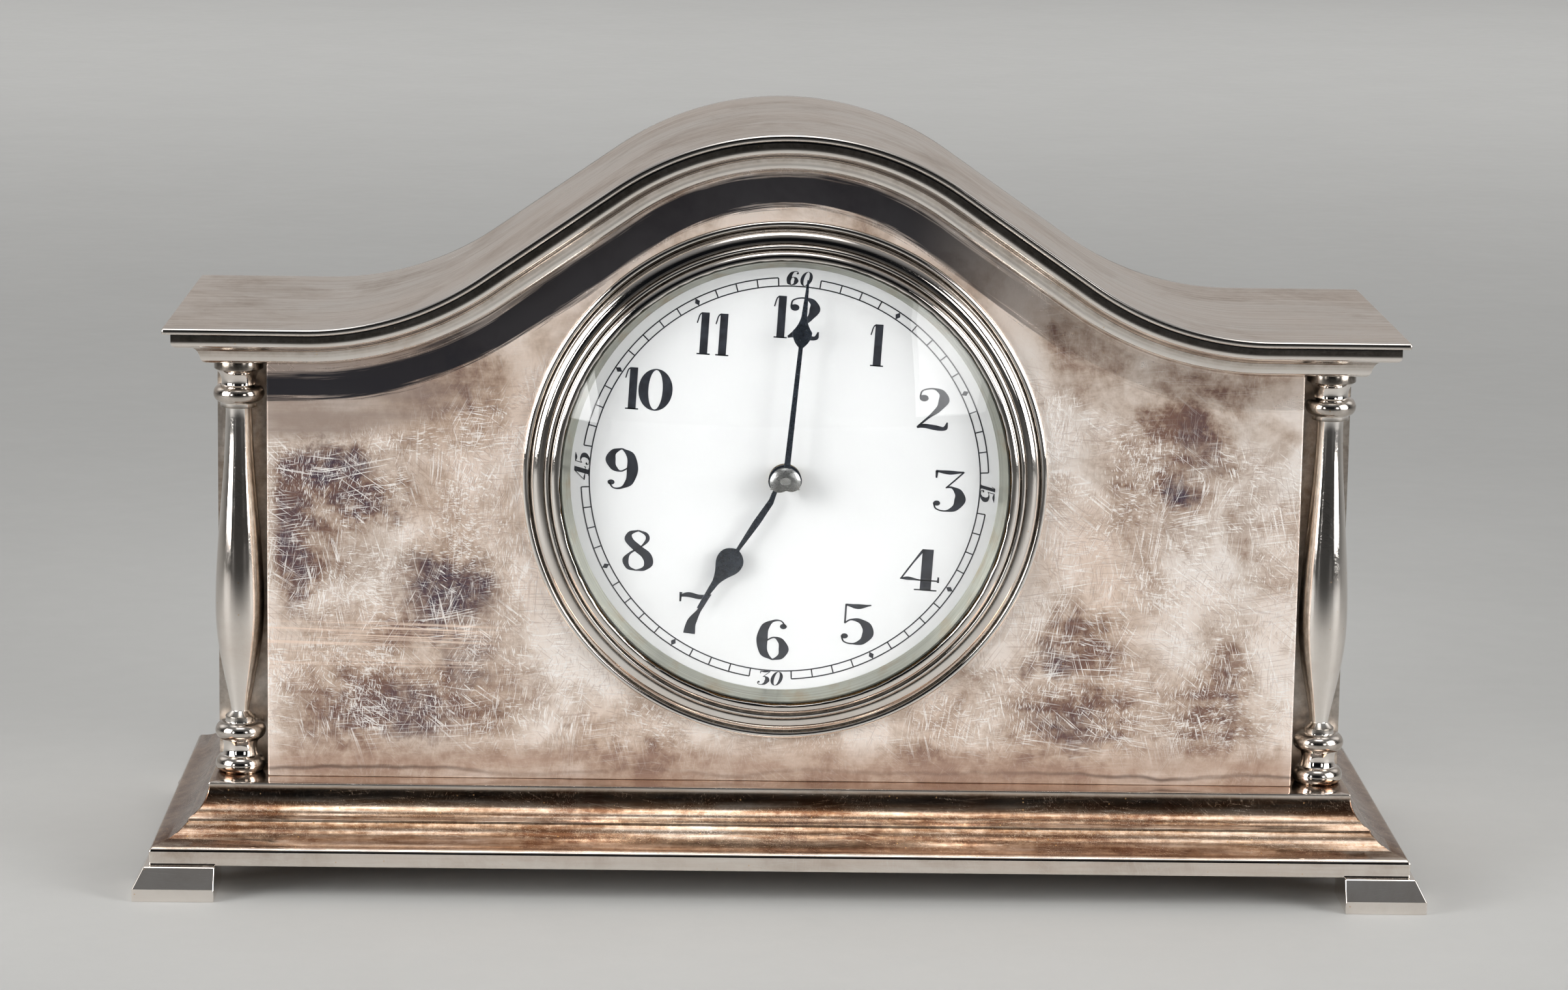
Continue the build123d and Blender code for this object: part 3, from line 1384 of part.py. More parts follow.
stud_reach = hairspring_radius + hairspring_turns * hairspring_pitch + hairspring_strip + end_shake + stud_radius
with BuildPart() as balance_cock:
    with BuildSketch(across(cock_rear)):
        with Locations(balance_place):
            Circle(cock_eye_radius)
        with Locations(cock_foot_place):
            Circle(cock_foot_radius)
        make_hull()
    extrude(amount=cock_sheet)
    with BuildSketch(across(cock_front)):
        with Locations(cock_foot_place):
            Circle(cock_foot_radius)
    extrude(amount=cock_front - back_plate_back)
    with BuildSketch(across(cock_front)):
        with Locations(around(balance_place, stud_reach, cock_foot_angle)):
            Circle(stud_radius)
    extrude(amount=cock_front - hairspring_front)
    with BuildSketch(across(cock_rear + regulator_sheet + end_shake)):
        with Locations(balance_place):
            Circle(regulator_boss_radius)
    extrude(amount=regulator_sheet + end_shake)
    with BuildSketch(across(cock_rear)):
        with Locations(balance_place):
            Circle(pivot_radius + pivot_clearance)
        with Locations(cock_foot_place):
            Circle(screw_radius + screw_clearance)
    extrude(amount=cock_rear - back_plate_back, mode=Mode.SUBTRACT)
write_piece(balance_cock, "balance_cock")

with BuildPart() as regulator:
    regulator_rear = cock_rear + pivot_clearance + regulator_sheet
    tail = Plane((balance_place[0], regulator_rear, balance_place[1]), z_dir=(0, -1, 0),
                 x_dir=(cos(radians(regulator_angle)), 0, sin(radians(regulator_angle))))
    with BuildSketch(tail):
        Circle(regulator_radius)
        with Locations((regulator_tail / 2, 0)):
            Rectangle(regulator_tail, regulator_tail_width)
        Circle(regulator_boss_radius + pivot_clearance, mode=Mode.SUBTRACT)
    extrude(amount=regulator_sheet)
write_piece(regulator, "regulator")

# Movement plates with their pivot holes
posts = [around(centre_place, plate_post_circle, angle) for angle in plate_post_angles]
rim_screws = [around(centre_place, drum_inner - rim_screw_inset, angle) for angle in rim_screw_angles]
train_places = (intermediate_place, third_place, fourth_place, escape_place, pallet_place)
with BuildPart() as front_plate:
    with BuildSketch(across(front_plate_back)):
        with Locations(centre_place):
            Circle(plate_radius)
            Circle(pipe_bore, mode=Mode.SUBTRACT)
        with Locations(*train_places, balance_place):
            Circle(pivot_radius + pivot_clearance, mode=Mode.SUBTRACT)
        with Locations(barrel_place):
            Circle(barrel_arbor_radius + pivot_clearance, mode=Mode.SUBTRACT)
        with Locations(*rim_screws):
            Circle(rim_screw_radius + screw_clearance, mode=Mode.SUBTRACT)
    extrude(amount=plate_sheet)
    with BuildSketch(across(front_plate_face)):
        with Locations(minute_wheel_place):
            Circle(click_post_radius)
    extrude(amount=front_plate_face - post_front)
write_piece(front_plate, "front_plate")

with BuildPart() as back_plate:
    with BuildSketch(across(back_plate_back)):
        with Locations(centre_place):
            Circle(plate_radius)
            Circle(pipe_bore, mode=Mode.SUBTRACT)
        with Locations(*train_places):
            Circle(pivot_radius + pivot_clearance, mode=Mode.SUBTRACT)
        with Locations(barrel_place):
            Circle(barrel_arbor_radius + pivot_clearance, mode=Mode.SUBTRACT)
        with Locations(balance_place):
            Circle(staff_radius + staff_hole_clearance, mode=Mode.SUBTRACT)
        with Locations(*posts, cock_foot_place):
            Circle(screw_radius + screw_clearance, mode=Mode.SUBTRACT)
    extrude(amount=plate_sheet)
    with BuildSketch(across(click_rear + end_shake)):
        with Locations(click_place):
            Circle(click_post_radius)
    extrude(amount=click_rear + end_shake - back_plate_back)
write_piece(back_plate, "back_plate")

with BuildPart() as plate_pillars:
    with BuildSketch(across(back_plate_face)):
        with Locations(*posts):
            Circle(pillar_radius)
    extrude(amount=plate_gap)
    with BuildSketch(across(back_plate_face)):
        with Locations(*posts):
            Circle(screw_radius + press_clearance)
    extrude(amount=screw_reach + screw_clearance, mode=Mode.SUBTRACT)
write_piece(plate_pillars, "plate_pillars")


# Screws, with slotted heads behind what they hold
def screw_steps(seat, tip, head_radius, shank_radius):
    """Steps (front, rear, radius) of a screw whose head sits behind the seat."""
    return ((tip, seat, shank_radius), (seat, seat + screw_head_height, head_radius))


screw_sets = (
    (posts, screw_steps(back_plate_back, back_plate_face - screw_reach, screw_head_radius, screw_radius)),
    ((cock_foot_place,), screw_steps(cock_rear, back_plate_face + end_shake, screw_head_radius, screw_radius)),
    (rim_screws, screw_steps(front_plate_back, front_plate_face - rim_screw_reach, rim_screw_head,
                             rim_screw_radius)),
)
with BuildPart() as plate_screws:
    for places, steps in screw_sets:
        for front, rear, radius in steps:
            with BuildSketch(across(rear)):
                with Locations(*places):
                    Circle(radius)
            extrude(amount=rear - front)
        head_rear = steps[-1][1]
        head_radius = steps[-1][2]
        with BuildSketch(across(head_rear)):
            with Locations(*places):
                Rectangle(2 * head_radius, screw_slot)
        extrude(amount=screw_slot, mode=Mode.SUBTRACT)
write_piece(plate_screws, "plate_screws")
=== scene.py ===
import functools
import json
import math
import random

import bmesh
import bpy
from mathutils import Matrix, Vector


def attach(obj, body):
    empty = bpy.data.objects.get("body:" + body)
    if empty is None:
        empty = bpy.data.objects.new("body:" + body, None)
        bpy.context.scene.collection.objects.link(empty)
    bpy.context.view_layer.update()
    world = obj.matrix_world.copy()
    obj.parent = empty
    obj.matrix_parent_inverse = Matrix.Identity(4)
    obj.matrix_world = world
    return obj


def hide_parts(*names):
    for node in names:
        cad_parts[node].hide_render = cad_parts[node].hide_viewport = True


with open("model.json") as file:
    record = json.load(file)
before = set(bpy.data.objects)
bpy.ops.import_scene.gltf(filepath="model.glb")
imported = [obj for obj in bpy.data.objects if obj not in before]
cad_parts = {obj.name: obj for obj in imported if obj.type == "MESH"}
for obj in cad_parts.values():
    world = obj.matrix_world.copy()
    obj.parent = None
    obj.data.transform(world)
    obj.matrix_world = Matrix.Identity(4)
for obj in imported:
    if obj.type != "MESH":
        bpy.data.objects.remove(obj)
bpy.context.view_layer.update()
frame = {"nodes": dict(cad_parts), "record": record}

bl_info = {
    "name": "Tambour mantel clock",
    "version": (1, 0, 0),
    "blender": (4, 5, 0),
    "location": "View3D > Sidebar > Clock",
    "description": "Dresses the packed model of a silver-plated mantel clock and sets its studio",
    "category": "Object",
}

NODES = frame["nodes"]
MM = 0.001
NONE = (0.0, 0.0, 0.0)
EVEN = (1.0, 1.0, 1.0)
UP = (0.0, 0.0, 1.0)
DOWN = (0.0, 0.0, -1.0)


# Properties
def length(name, description, millimetres):
    """A length property, given in millimetres and kept in metres."""
    return bpy.props.FloatProperty(name=name, description=description, default=millimetres * MM, unit="LENGTH",
                                   precision=5)


def colour(name, description, value):
    """A colour property."""
    return bpy.props.FloatVectorProperty(name=name, description=description, default=value, subtype="COLOR", size=3,
                                         min=0.0, max=1.0)


def amount(name, description, value):
    """A plain number."""
    return bpy.props.FloatProperty(name=name, description=description, default=value, precision=4)


class ClockSizes(bpy.types.PropertyGroup):
    """Sizes of the dressed pieces, the same as those of the solids that they stand for."""
    roof_half_width: length("Roof half width", "Half the length of the roof plate", 97.7)
    roof_half_depth: length("Roof half depth", "Half the depth of the roof plate", 31.2)
    crown_height: length("Crown height", "Height of the top of the arch", 121.0)
    shoulder_height: length("Shoulder height", "Height of the flat ends of the roof", 89.5)
    crown_radius: length("Crown radius", "Radius of the arch over the dial", 48.2)
    sweep_radius: length("Sweep radius", "Radius of the hollow sweeps beside the arch", 48.6)
    slope_run: length("Slope run", "Straight part between the arch and a sweep", 25.28)
    roof_sheet: length("Roof sheet", "Thickness of the roof plate", 1.0)
    roof_rounding: length("Roof rounding", "Rounding of the roof plate's edge", 0.42)
    deck_half_width: length("Deck half width", "Half the length of the plinth's top", 90.9)
    deck_half_depth: length("Deck half depth", "Half the depth of the plinth's top", 29.9)
    deck_top: length("Deck top", "Height of the plinth's top", 16.6)
    plinth_low: length("Plinth underside", "Height of the plinth's underside", 5.25)
    column_x: length("Column place", "Distance of a column from the middle", 86.6)
    column_y: length("Column depth", "Depth of the columns' axes", -21.0)
    column_height: length("Column height", "Height of a column between its tenons", 66.65)
    dial_height: length("Dial height", "Height of the dial's middle", 65.45)
    panel_face: length("Panel face", "Depth of the front panel's face", -25.1)
    dial_face: length("Dial face", "Depth of the enamel's face", -23.6)
    track_inner: length("Minute track", "Radius of the minute track's inner line", 30.9)
    track_outer: length("Minute track edge", "Radius of the minute track's outer line", 32.2)
    numeral_circle: length("Numeral circle", "Radius of the circle through the hour numerals", 25.9)
    numeral_height: length("Numeral height", "Height of the hour numerals", 6.7)
    small_height: length("Small numeral height", "Height of the quarter numerals", 2.3)
    print_depth: length("Print depth", "Thickness of the printed enamel", 0.03)
    edge_rounding: length("Edge rounding", "Rounding of the worn sheet edges", 0.28)


class ClockColours(bpy.types.PropertyGroup):
    """Colours of the finishes."""
    silver: colour("Silver", "Clean silver plate", (0.90, 0.875, 0.84))
    warm_silver: colour("Rubbed silver", "Silver that has been polished thin", (0.85, 0.67, 0.55))
    tarnish: colour("Tarnish", "Brown tarnish", (0.19, 0.107, 0.080))
    dark_tarnish: colour("Dark tarnish", "Purple tarnish", (0.065, 0.042, 0.060))
    gold: colour("Gold tarnish", "First yellow tarnish and base metal", (0.74, 0.50, 0.25))
    # The grime colour also paints shade and dark reflection on bands of the cornice and on the plinth's underside
    grime: colour("Grime", "Old polish in the hollows", (0.055, 0.045, 0.035))
    satin: colour("Satin silver", "Frosted silver of the sight ring", (0.47, 0.475, 0.41))
    enamel: colour("Enamel", "White enamel of the dial", (0.66, 0.665, 0.67))
    ink: colour("Dial print", "Black print on the enamel", (0.008, 0.009, 0.012))
    blued: colour("Blued steel", "Heat-blued steel", (0.028, 0.034, 0.044))
    steel: colour("Steel", "Polished steel", (0.60, 0.60, 0.59))
    brass: colour("Brass", "Bright brass of the movement", (0.83, 0.62, 0.29))
    wood: colour("Wood", "Loading block in the plinth", (0.33, 0.20, 0.11))
    floor: colour("Floor", "Pale paper under the clock", (0.465, 0.463, 0.45))


class StudioSettings(bpy.types.PropertyGroup):
    """The camera and the lights."""
    focal: amount("Focal length", "Focal length in pixels of a picture 2408 wide", 7209.57)
    tilt: amount("Tilt", "How far the camera looks down, in radians", 0.1816)
    pan: amount("Pan", "Turn of the clock to the camera, in radians", -0.0169)
    roll: amount("Roll", "Roll of the camera, in radians", 0.0149)
    aim_x: length("Aim across", "Sideways place of the clock before the camera", 4.2995)
    aim_y: length("Aim down", "Drop of the clock before the camera", -0.578)
    distance: length("Distance", "Distance from the camera to the clock's middle", 768.52)
    aim_height: length("Aim height", "Height of the point that the camera aims at", 60.0)
    shift_x: amount("Shift across", "Sideways shift of the lens", 0.0184)
    shift_y: amount("Shift up", "Upward shift of the lens", -0.0032)
    key_power: amount("Key light", "Power of the softbox on the left, in watts", 0.54)
    fill_power: amount("Fill light", "Power of the softbox on the right, in watts", 0.54)
    window_power: amount("Window light", "Power of each narrow light at the front, in watts", 0.055)
    front_power: amount("Front light", "Power of the softbox high in front, in watts", 0.1)
    top_power: amount("Top light", "Power of the softbox overhead, in watts", 1.3)
    side_power: amount("High side light", "Power of each softbox high at the side, in watts", 0.08)
    back_power: amount("Backdrop light", "Power of the softbox over the backdrop, in watts", 11.0)
    sky: amount("Room light", "Strength of the light from the room", 0.5)


def sizes():
    """The size properties."""
    return bpy.context.scene.clock_sizes


def colours():
    """The colour properties."""
    return bpy.context.scene.clock_colours


def mm(name):
    """A size in millimetres."""
    return getattr(sizes(), name) / MM


def shade(tone, factor):
    """A colour made lighter or darker."""
    return tuple(min(1.0, part * factor) for part in tone)


# Shader nodes
def set_inputs(node, inputs):
    """Set a node's inputs, or link them to what feeds them."""
    for key, value in inputs.items():
        socket = node.inputs[key]
        if isinstance(value, Flow):
            node.id_data.links.new(value.socket, socket)
        elif socket.type == "RGBA":
            socket.default_value = (*value, 1.0)
        else:
            socket.default_value = value


def add(tree, kind, inputs=None, **settings):
    """A new node, with its settings and its inputs."""
    node = tree.nodes.new(kind)
    for key, value in settings.items():
        setattr(node, key, value)
    set_inputs(node, inputs or {})
    return node


def calc(tree, operation, first, second=0.0):
    """A Math node's value."""
    return Flow(add(tree, "ShaderNodeMath", {0: first, 1: second}, operation=operation))


class Flow:
    """What a node puts out, to reckon with like a number."""

    def __init__(self, node, output=0):
        self.socket = node.outputs[output]
        self.tree = node.id_data

    def math(self, operation, second=0.0):
        """A Math node on this value and a second one."""
        return calc(self.tree, operation, self, second)

    def spread(self, low, high, to_low=0.0, to_high=1.0, smooth=False):
        """This value mapped from one range to another."""
        return Flow(add(self.tree, "ShaderNodeMapRange", {0: self, 1: low, 2: high, 3: to_low, 4: to_high},
                        interpolation_type="SMOOTHSTEP" if smooth else "LINEAR"))

    def clamp(self):
        """Keep this Math node's value between 0 and 1."""
        self.socket.node.use_clamp = True
        return self

    def split(self):
        """The three parts of a vector."""
        node = add(self.tree, "ShaderNodeSeparateXYZ", {0: self})
        return [Flow(node, axis) for axis in range(3)]

    def __add__(self, other):
        return self.math("ADD", other)

    def __sub__(self, other):
        return self.math("SUBTRACT", other)

    def __rsub__(self, other):
        return calc(self.tree, "SUBTRACT", other, self)

    def __mul__(self, other):
        return self.math("MULTIPLY", other)

    def __truediv__(self, other):
        return self.math("DIVIDE", other)

    def __mod__(self, other):
        return self.math("MODULO", other)

    def __abs__(self):
        return self.math("ABSOLUTE")


def total(operation, values):
    """One Math operation run through a list of values."""
    return functools.reduce(lambda first, second: first.math(operation, second), values)


def span(first, second):
    """The length of two sides at a right angle."""
    return (first * first + second * second).math("SQRT")


def choose(test, first, second):
    """The first value, or the second where the test is 1."""
    return Flow(add(test.tree, "ShaderNodeMix", {0: test, 2: first, 3: second}))


def vector_math(operation, first, second=NONE, scale=1.0, output=0):
    """A Vector Math node's output."""
    return Flow(add(first.tree, "ShaderNodeVectorMath", {0: first, 1: second, 3: scale}, operation=operation), output)


def tint(factor, first, second, mode="MIX"):
    """A Mix node's colour."""
    return Flow(add(factor.tree, "ShaderNodeMix", {0: factor, 6: first, 7: second}, data_type="RGBA",
                    blend_type=mode), 2)


def layered(base, layers):
    """A colour under layers, each a mask and its own colour."""
    for mask, tone in layers:
        base = tint(mask, base, tone)
    return base


def noise(vector, scale, detail=4.0, roughness=0.55, distortion=0.0, output=0):
    """A Noise Texture's value, or another of its outputs."""
    inputs = {"Vector": vector, "Scale": scale, "Detail": detail, "Roughness": roughness, "Distortion": distortion}
    return Flow(add(vector.tree, "ShaderNodeTexNoise", inputs), output)


def specks(vector, scale, edge, core, part, rarity):
    """Small round dots in a few cells: part is the channel of a cell's colour that decides, and rarity how few."""
    cells = add(vector.tree, "ShaderNodeTexVoronoi", {"Vector": vector, "Scale": scale, "Randomness": 1.0})
    draw = Flow(add(vector.tree, "ShaderNodeSeparateColor", {0: Flow(cells, "Color")}), part)
    return Flow(cells, "Distance").spread(edge, core) * draw.spread(rarity, rarity + 0.02)


def placed(vector, turn=NONE, scale=EVEN, shift=NONE, kind="POINT"):
    """A vector turned (in degrees), stretched and moved."""
    turn = tuple(math.radians(angle) for angle in turn)
    return Flow(add(vector.tree, "ShaderNodeMapping",
                    {"Vector": vector, "Location": shift, "Rotation": turn, "Scale": scale}, vector_type=kind))


def measured(vector, lengths, turn=NONE, shift=NONE):
    """A vector turned (in degrees) and measured in features of these lengths."""
    return placed(vector, turn, lengths, shift, "TEXTURE")


def millimetres(tree):
    """Object coordinates in millimetres."""
    return vector_math("SCALE", Flow(add(tree, "ShaderNodeTexCoord"), "Object"), scale=1 / MM)


def attribute(tree, name):
    """A float attribute of the mesh."""
    return Flow(add(tree, "ShaderNodeAttribute", attribute_name=name), "Fac")


def use_group(tree, group, **inputs):
    """The first output of a shader group."""
    return Flow(add(tree, "ShaderNodeGroup", inputs, node_tree=group))


def bump(shader, height, millimetres_high):
    """A Bump node on a shader's normal."""
    node = add(shader.id_data, "ShaderNodeBump", {"Distance": millimetres_high * MM, "Height": height})
    set_inputs(shader, {"Normal": Flow(node)})


def once(kind, name):
    """Give a maker the name of its material or group, and return that one where it is already made."""
    def wrap(maker):
        @functools.wraps(maker)
        def get():
            made = getattr(bpy.data, kind)
            return made[name] if name in made else maker(name)
        return get
    return wrap


SOCKET_KINDS = {float: "Float", int: "Int", tuple: "Vector", type(None): "Material"}


def new_group(name, inputs, outputs, kind="ShaderNodeTree"):
    """An empty node group with inputs (name, default) and outputs (name, kind): its inputs by name, and its end."""
    tree = bpy.data.node_groups.new(name, kind)
    for key, default in inputs:
        socket_type = "NodeSocket" + SOCKET_KINDS[type(default)]
        socket = tree.interface.new_socket(key, in_out="INPUT", socket_type=socket_type)
        if default is not None:
            socket.default_value = default
    for key, output in outputs:
        tree.interface.new_socket(key, in_out="OUTPUT", socket_type="NodeSocket" + output)
    source, result = tree.nodes.new("NodeGroupInput"), tree.nodes.new("NodeGroupOutput")
    return tree, {key: Flow(source, key) for key, _ in inputs}, result


def new_material(name):
    """An empty node material with a Principled shader."""
    material = bpy.data.materials.new(name)
    material.use_nodes = True
    tree = material.node_tree
    tree.nodes.clear()
    shader = add(tree, "ShaderNodeBsdfPrincipled")
    add(tree, "ShaderNodeOutputMaterial", {"Surface": Flow(shader)})
    return material, tree, shader


# Ways that the scratches run: turn about the clock's depth, tip, how rare, and width and length in millimetres
SCRATCH_TURNS = ((7.0, 2.0, 0.60, 0.16, 18.0), (-15.0, 4.0, 0.62, 0.20, 12.0), (27.0, 3.0, 0.63, 0.15, 10.0),
                 (83.0, 2.0, 0.60, 0.18, 22.0), (98.0, 5.0, 0.62, 0.22, 14.0), (128.0, 3.0, 0.63, 0.20, 26.0))


@once("node_groups", "fine_scratches")
def scratch_group(name):
    """Fine straight scratches in several directions on any face."""
    tree, given, result = new_group(name, (("Vector", NONE), ("Density", 0.5)), (("Mask", "Float"),))
    vector = given["Vector"]
    sway = vector_math("SCALE", noise(vector, 0.035, 1.0, output="Color"), scale=5.0)
    swayed = vector_math("ADD", vector, sway)
    masks = []
    for index, (angle, tip, rarity, wide, long) in enumerate(SCRATCH_TURNS):
        turned = measured(swayed, (wide, wide, long), (tip, angle, 0.0), (7.3 * index, 3.1 * index, 5.7 * index))
        patches = noise(placed(vector, shift=(31.0 * index, 17.0, 5.0 * index)), 0.13, 2.0)
        masks.append(noise(turned, 1.0, 1.0, 0.5).spread(rarity, rarity + 0.05) * patches.spread(0.44, 0.60))
    set_inputs(result, {"Mask": (total("ADD", masks) * given["Density"]).clamp()})
    return tree


@once("node_groups", "oval_stain")
def stain_group(name):
    """A soft oval patch on the front panel's plane."""
    tree, given, result = new_group(name, (("Vector", NONE), ("Centre", NONE), ("Reach", EVEN)), (("Mask", "Float"),))
    away = vector_math("SUBTRACT", given["Vector"], given["Centre"])
    flat = vector_math("MULTIPLY", vector_math("DIVIDE", away, given["Reach"]), (1.0, 0.0, 1.0))
    reach = vector_math("LENGTH", flat, output="Value")
    set_inputs(result, {"Mask": reach.spread(1.25, 0.15, smooth=True)})
    return tree


@once("node_groups", "under_cornice")
def arch_group(name):
    """How far a place on the front lies under the cornice's lower edge, in millimetres."""
    tree, given, result = new_group(name, (("Vector", NONE),), (("Depth", "Float"),))
    crown_z, sweep_z, start, slope = arch_numbers()
    across, _, up = given["Vector"].split()
    across = abs(across)
    rise = up - crown_z
    past_crown = across.math("ARCTAN2", rise).math("GREATER_THAN", slope)
    upper = mm("crown_radius") - choose(past_crown, span(across, rise),
                                        across * math.sin(slope) + rise * math.cos(slope))
    inward, drop = start - across, sweep_z - up
    turn = inward.math("ARCTAN2", drop)
    depth = choose(turn.math("LESS_THAN", slope), upper, span(inward, drop) - mm("sweep_radius"))
    depth = choose(turn.math("LESS_THAN", 0.0), depth, mm("shoulder_height") - up)
    set_inputs(result, {"Depth": depth - CORNICE_DROP})
    return tree


@once("node_groups", "silver_plate")
def plate_group(name):
    """Silver plate: clouds of tarnish, scratches, specks, grime in the hollows with painted shade where its grime input
    carries it, and wear on the edges.
    """
    tree, given, result = new_group(
        name, (("Vector", NONE), ("Grime", 0.0), ("Wear", 0.0), ("Tarnish", 0.0), ("Dark", 0.0), ("Clouds", 0.3),
               ("Cloud Size", 0.05), ("Scratches", 0.4), ("Specks", 0.3), ("Roughness", 0.12), ("Warmth", 0.35),
               ("Smear", 1.0)),
        (("Colour", "Color"), ("Roughness", "Float"), ("Height", "Float")))
    tones, vector, wear = colours(), given["Vector"], given["Wear"]
    fine = noise(vector, 0.55, 5.0, 0.7)
    cloud = noise(vector, given["Cloud Size"], 5.0, 0.62, 0.6).spread(0.46, 0.72) * given["Clouds"]
    lines = use_group(tree, scratch_group(), Vector=vector, Density=given["Scratches"])
    dots = specks(vector, 0.8, 0.13, 0.06, 0, 0.72) * given["Specks"]
    stain = ((cloud + given["Tarnish"]) * fine.spread(0.25, 0.6, 0.55, 1.15)).clamp()
    dark = (given["Dark"] * fine.spread(0.3, 0.62, 0.45, 1.1)).clamp()
    # Grime in the hollows, plus painted shade where the grime input carries it
    packed = (given["Grime"] * fine.spread(0.35, 0.7, 0.55, 1.0)).clamp()
    warm = noise(vector, 0.035, 3.0).spread(0.35, 0.65, 0.4, 1.0) * given["Warmth"]
    base = layered(tint(warm, tones.silver, tones.warm_silver), (
        ((stain * 0.55).clamp(), tones.gold), (stain, tones.tarnish), (dark, tones.dark_tarnish),
        (lines * 0.75, tones.silver), (dots, tones.gold), (packed * 0.25, tones.gold), (packed * 0.85, tones.grime),
        ((wear * 0.5).clamp(), tones.silver)))
    smear = noise(placed(vector, scale=(0.6, 1.0, 1.6)), 0.12, 3.0).spread(0.3, 0.7, -0.03, 0.04) * given["Smear"]
    rough = total("ADD", [given["Roughness"], smear, stain * 0.10, lines * 0.22, packed * 0.14, dots * 0.2])
    rough = rough * wear.spread(0.0, 0.6, 1.0, 0.3)
    height = total("ADD", [noise(vector, 0.09, 2.0) * 1.3, lines * -0.35, fine * 0.03, dots * -0.25])
    set_inputs(result, {"Colour": base, "Roughness": rough.math("MAXIMUM", 0.03), "Height": height})
    return tree


# Materials
# Tones that one finish alone uses
GOLDEN = (0.76, 0.58, 0.40)
FIELD_BROWN = (0.37, 0.29, 0.245)
FOOT_BROWN = (0.46, 0.31, 0.235)
# Painted shadow and dark reflection under the cornice on the front panel
SHADOW_BLUE_BLACK = (0.022, 0.023, 0.029)
SPECK = (0.09, 0.08, 0.075)
GLASS_TINT = (0.985, 0.99, 0.985)
# Rings to a millimetre on the turned silver inside the bezel
TURNED_RINGS = 5.0


def silver_material(name, height=0.012, metallic=1.0, **values):
    """Silver plate with its own mix of clouds, scratches and specks."""
    material, tree, shader = new_material(name)
    inputs = {"Vector": millimetres(tree), "Grime": attribute(tree, "grime"), "Wear": attribute(tree, "wear")}
    plate = add(tree, "ShaderNodeGroup", {**inputs, **values}, node_tree=plate_group())
    set_inputs(shader, {"Base Color": Flow(plate, "Colour"), "Roughness": Flow(plate, "Roughness"),
                        "Metallic": metallic})
    bump(shader, Flow(plate, "Height"), height)
    return material, tree, shader, plate


@once("materials", "polished_silver")
def moulding_silver(name):
    """Polished plate of the mouldings, columns and bezel."""
    return silver_material(name, 0.008, Clouds=0.16, Scratches=0.2, Specks=0.7, Roughness=0.06, Warmth=0.3)[0]


@once("materials", "browned_plinth_silver")
def plinth_silver(name):
    """Browned and specked plate of the plinth, streaked along its length, with painted shade browning its ends."""
    material, tree, shader, plate = silver_material(name, 0.006, Clouds=0.4, Scratches=0.3, Specks=1.0, Roughness=0.09,
                                                    Warmth=0.5)
    vector = millimetres(tree)
    across, deep, up = vector.split()
    streak = noise(measured(vector, (22.0, 3.0, 1.1)), 1.0, 5.0, 0.65).spread(0.38, 0.66, 0.35, 0.95)
    patch = noise(measured(vector, (3.0, 3.0, 1.5)), 0.35, 4.0, 0.6).spread(0.55, 0.75)
    brown = (streak + patch * 0.4).clamp() * up.spread(7.6, 8.6, 0.15, 1.0) * up.spread(16.4, 15.4, 0.1, 1.0)
    # Painted shade: the plinth's ends are browned further
    side = (abs(across) - mm("deck_half_width")) - (abs(deep) - mm("deck_half_depth"))
    brown = brown.math("MAXIMUM", side.spread(0.0, 0.6) * 0.75)
    set_inputs(plate, {"Tarnish": brown})
    set_inputs(shader, {"Base Color": tint(brown, Flow(plate, "Colour"), GOLDEN, "MULTIPLY")})
    return material


@once("materials", "notch_wall_silver")
def wall_silver(name):
    """Plate of the side walls, turning green-black towards the front, in the notches behind the columns."""
    material, tree, _, plate = silver_material(name, Clouds=0.45, Scratches=0.4, Specks=0.35, Roughness=0.24)
    deep = millimetres(tree).split()[1]
    # Darker towards the front of the walls
    set_inputs(plate, {"Grime": deep.spread(-9.0, -17.0, 0.0, 0.75)})
    return material


@once("materials", "satin_silver_plate")
def roof_silver(name):
    """Satin plate of the roof and the back, with fine lines along the arch."""
    material, tree, _, plate = silver_material(name, 0.003, Clouds=0.35, Scratches=0.0, Specks=0.4, Roughness=0.28,
                                               Warmth=0.45, Smear=0.1)
    lines = noise(measured(millimetres(tree), (34.0, 0.3, 34.0)), 1.0, 3.0, 0.6)
    set_inputs(plate, {"Tarnish": lines.spread(0.42, 0.7, 0.0, 0.4)})
    return material


# Where the front panel is stained: place across, height, reach across, reach up, strength
BROWN_STAINS = (
    (-73.0, 66.5, 11.0, 5.6, 1.0), (-66.5, 61.5, 8.5, 5.0, 0.9), (-78.0, 54.0, 6.1, 16.2, 1.0),
    (-54.0, 45.5, 13.4, 10.0, 1.0), (-62.0, 28.0, 26.8, 8.8, 0.95), (-50.0, 29.0, 14.6, 11.2, 0.9),
    (-62.0, 19.0, 29.3, 5.6, 0.9), (-51.0, 78.0, 14.6, 10.0, 0.85), (-72.0, 75.0, 15.9, 5.0, 0.7),
    (-47.0, 40.0, 6.1, 12.5, 0.6), (0.0, 19.0, 100.0, 4.4, 0.75), (61.5, 65.0, 9.8, 10.0, 0.9),
    (65.0, 73.0, 7.3, 10.0, 0.9), (57.0, 70.0, 7.3, 6.2, 0.7), (46.0, 39.0, 11.0, 8.1, 0.9),
    (46.0, 27.0, 15.9, 8.8, 0.9), (66.0, 27.0, 13.4, 8.8, 0.75), (70.5, 34.0, 6.7, 13.8, 0.7),
    (43.0, 86.0, 11.0, 12.5, 0.75), (66.0, 83.0, 19.5, 5.0, 0.6), (74.0, 60.0, 4.9, 7.5, 0.5),
)
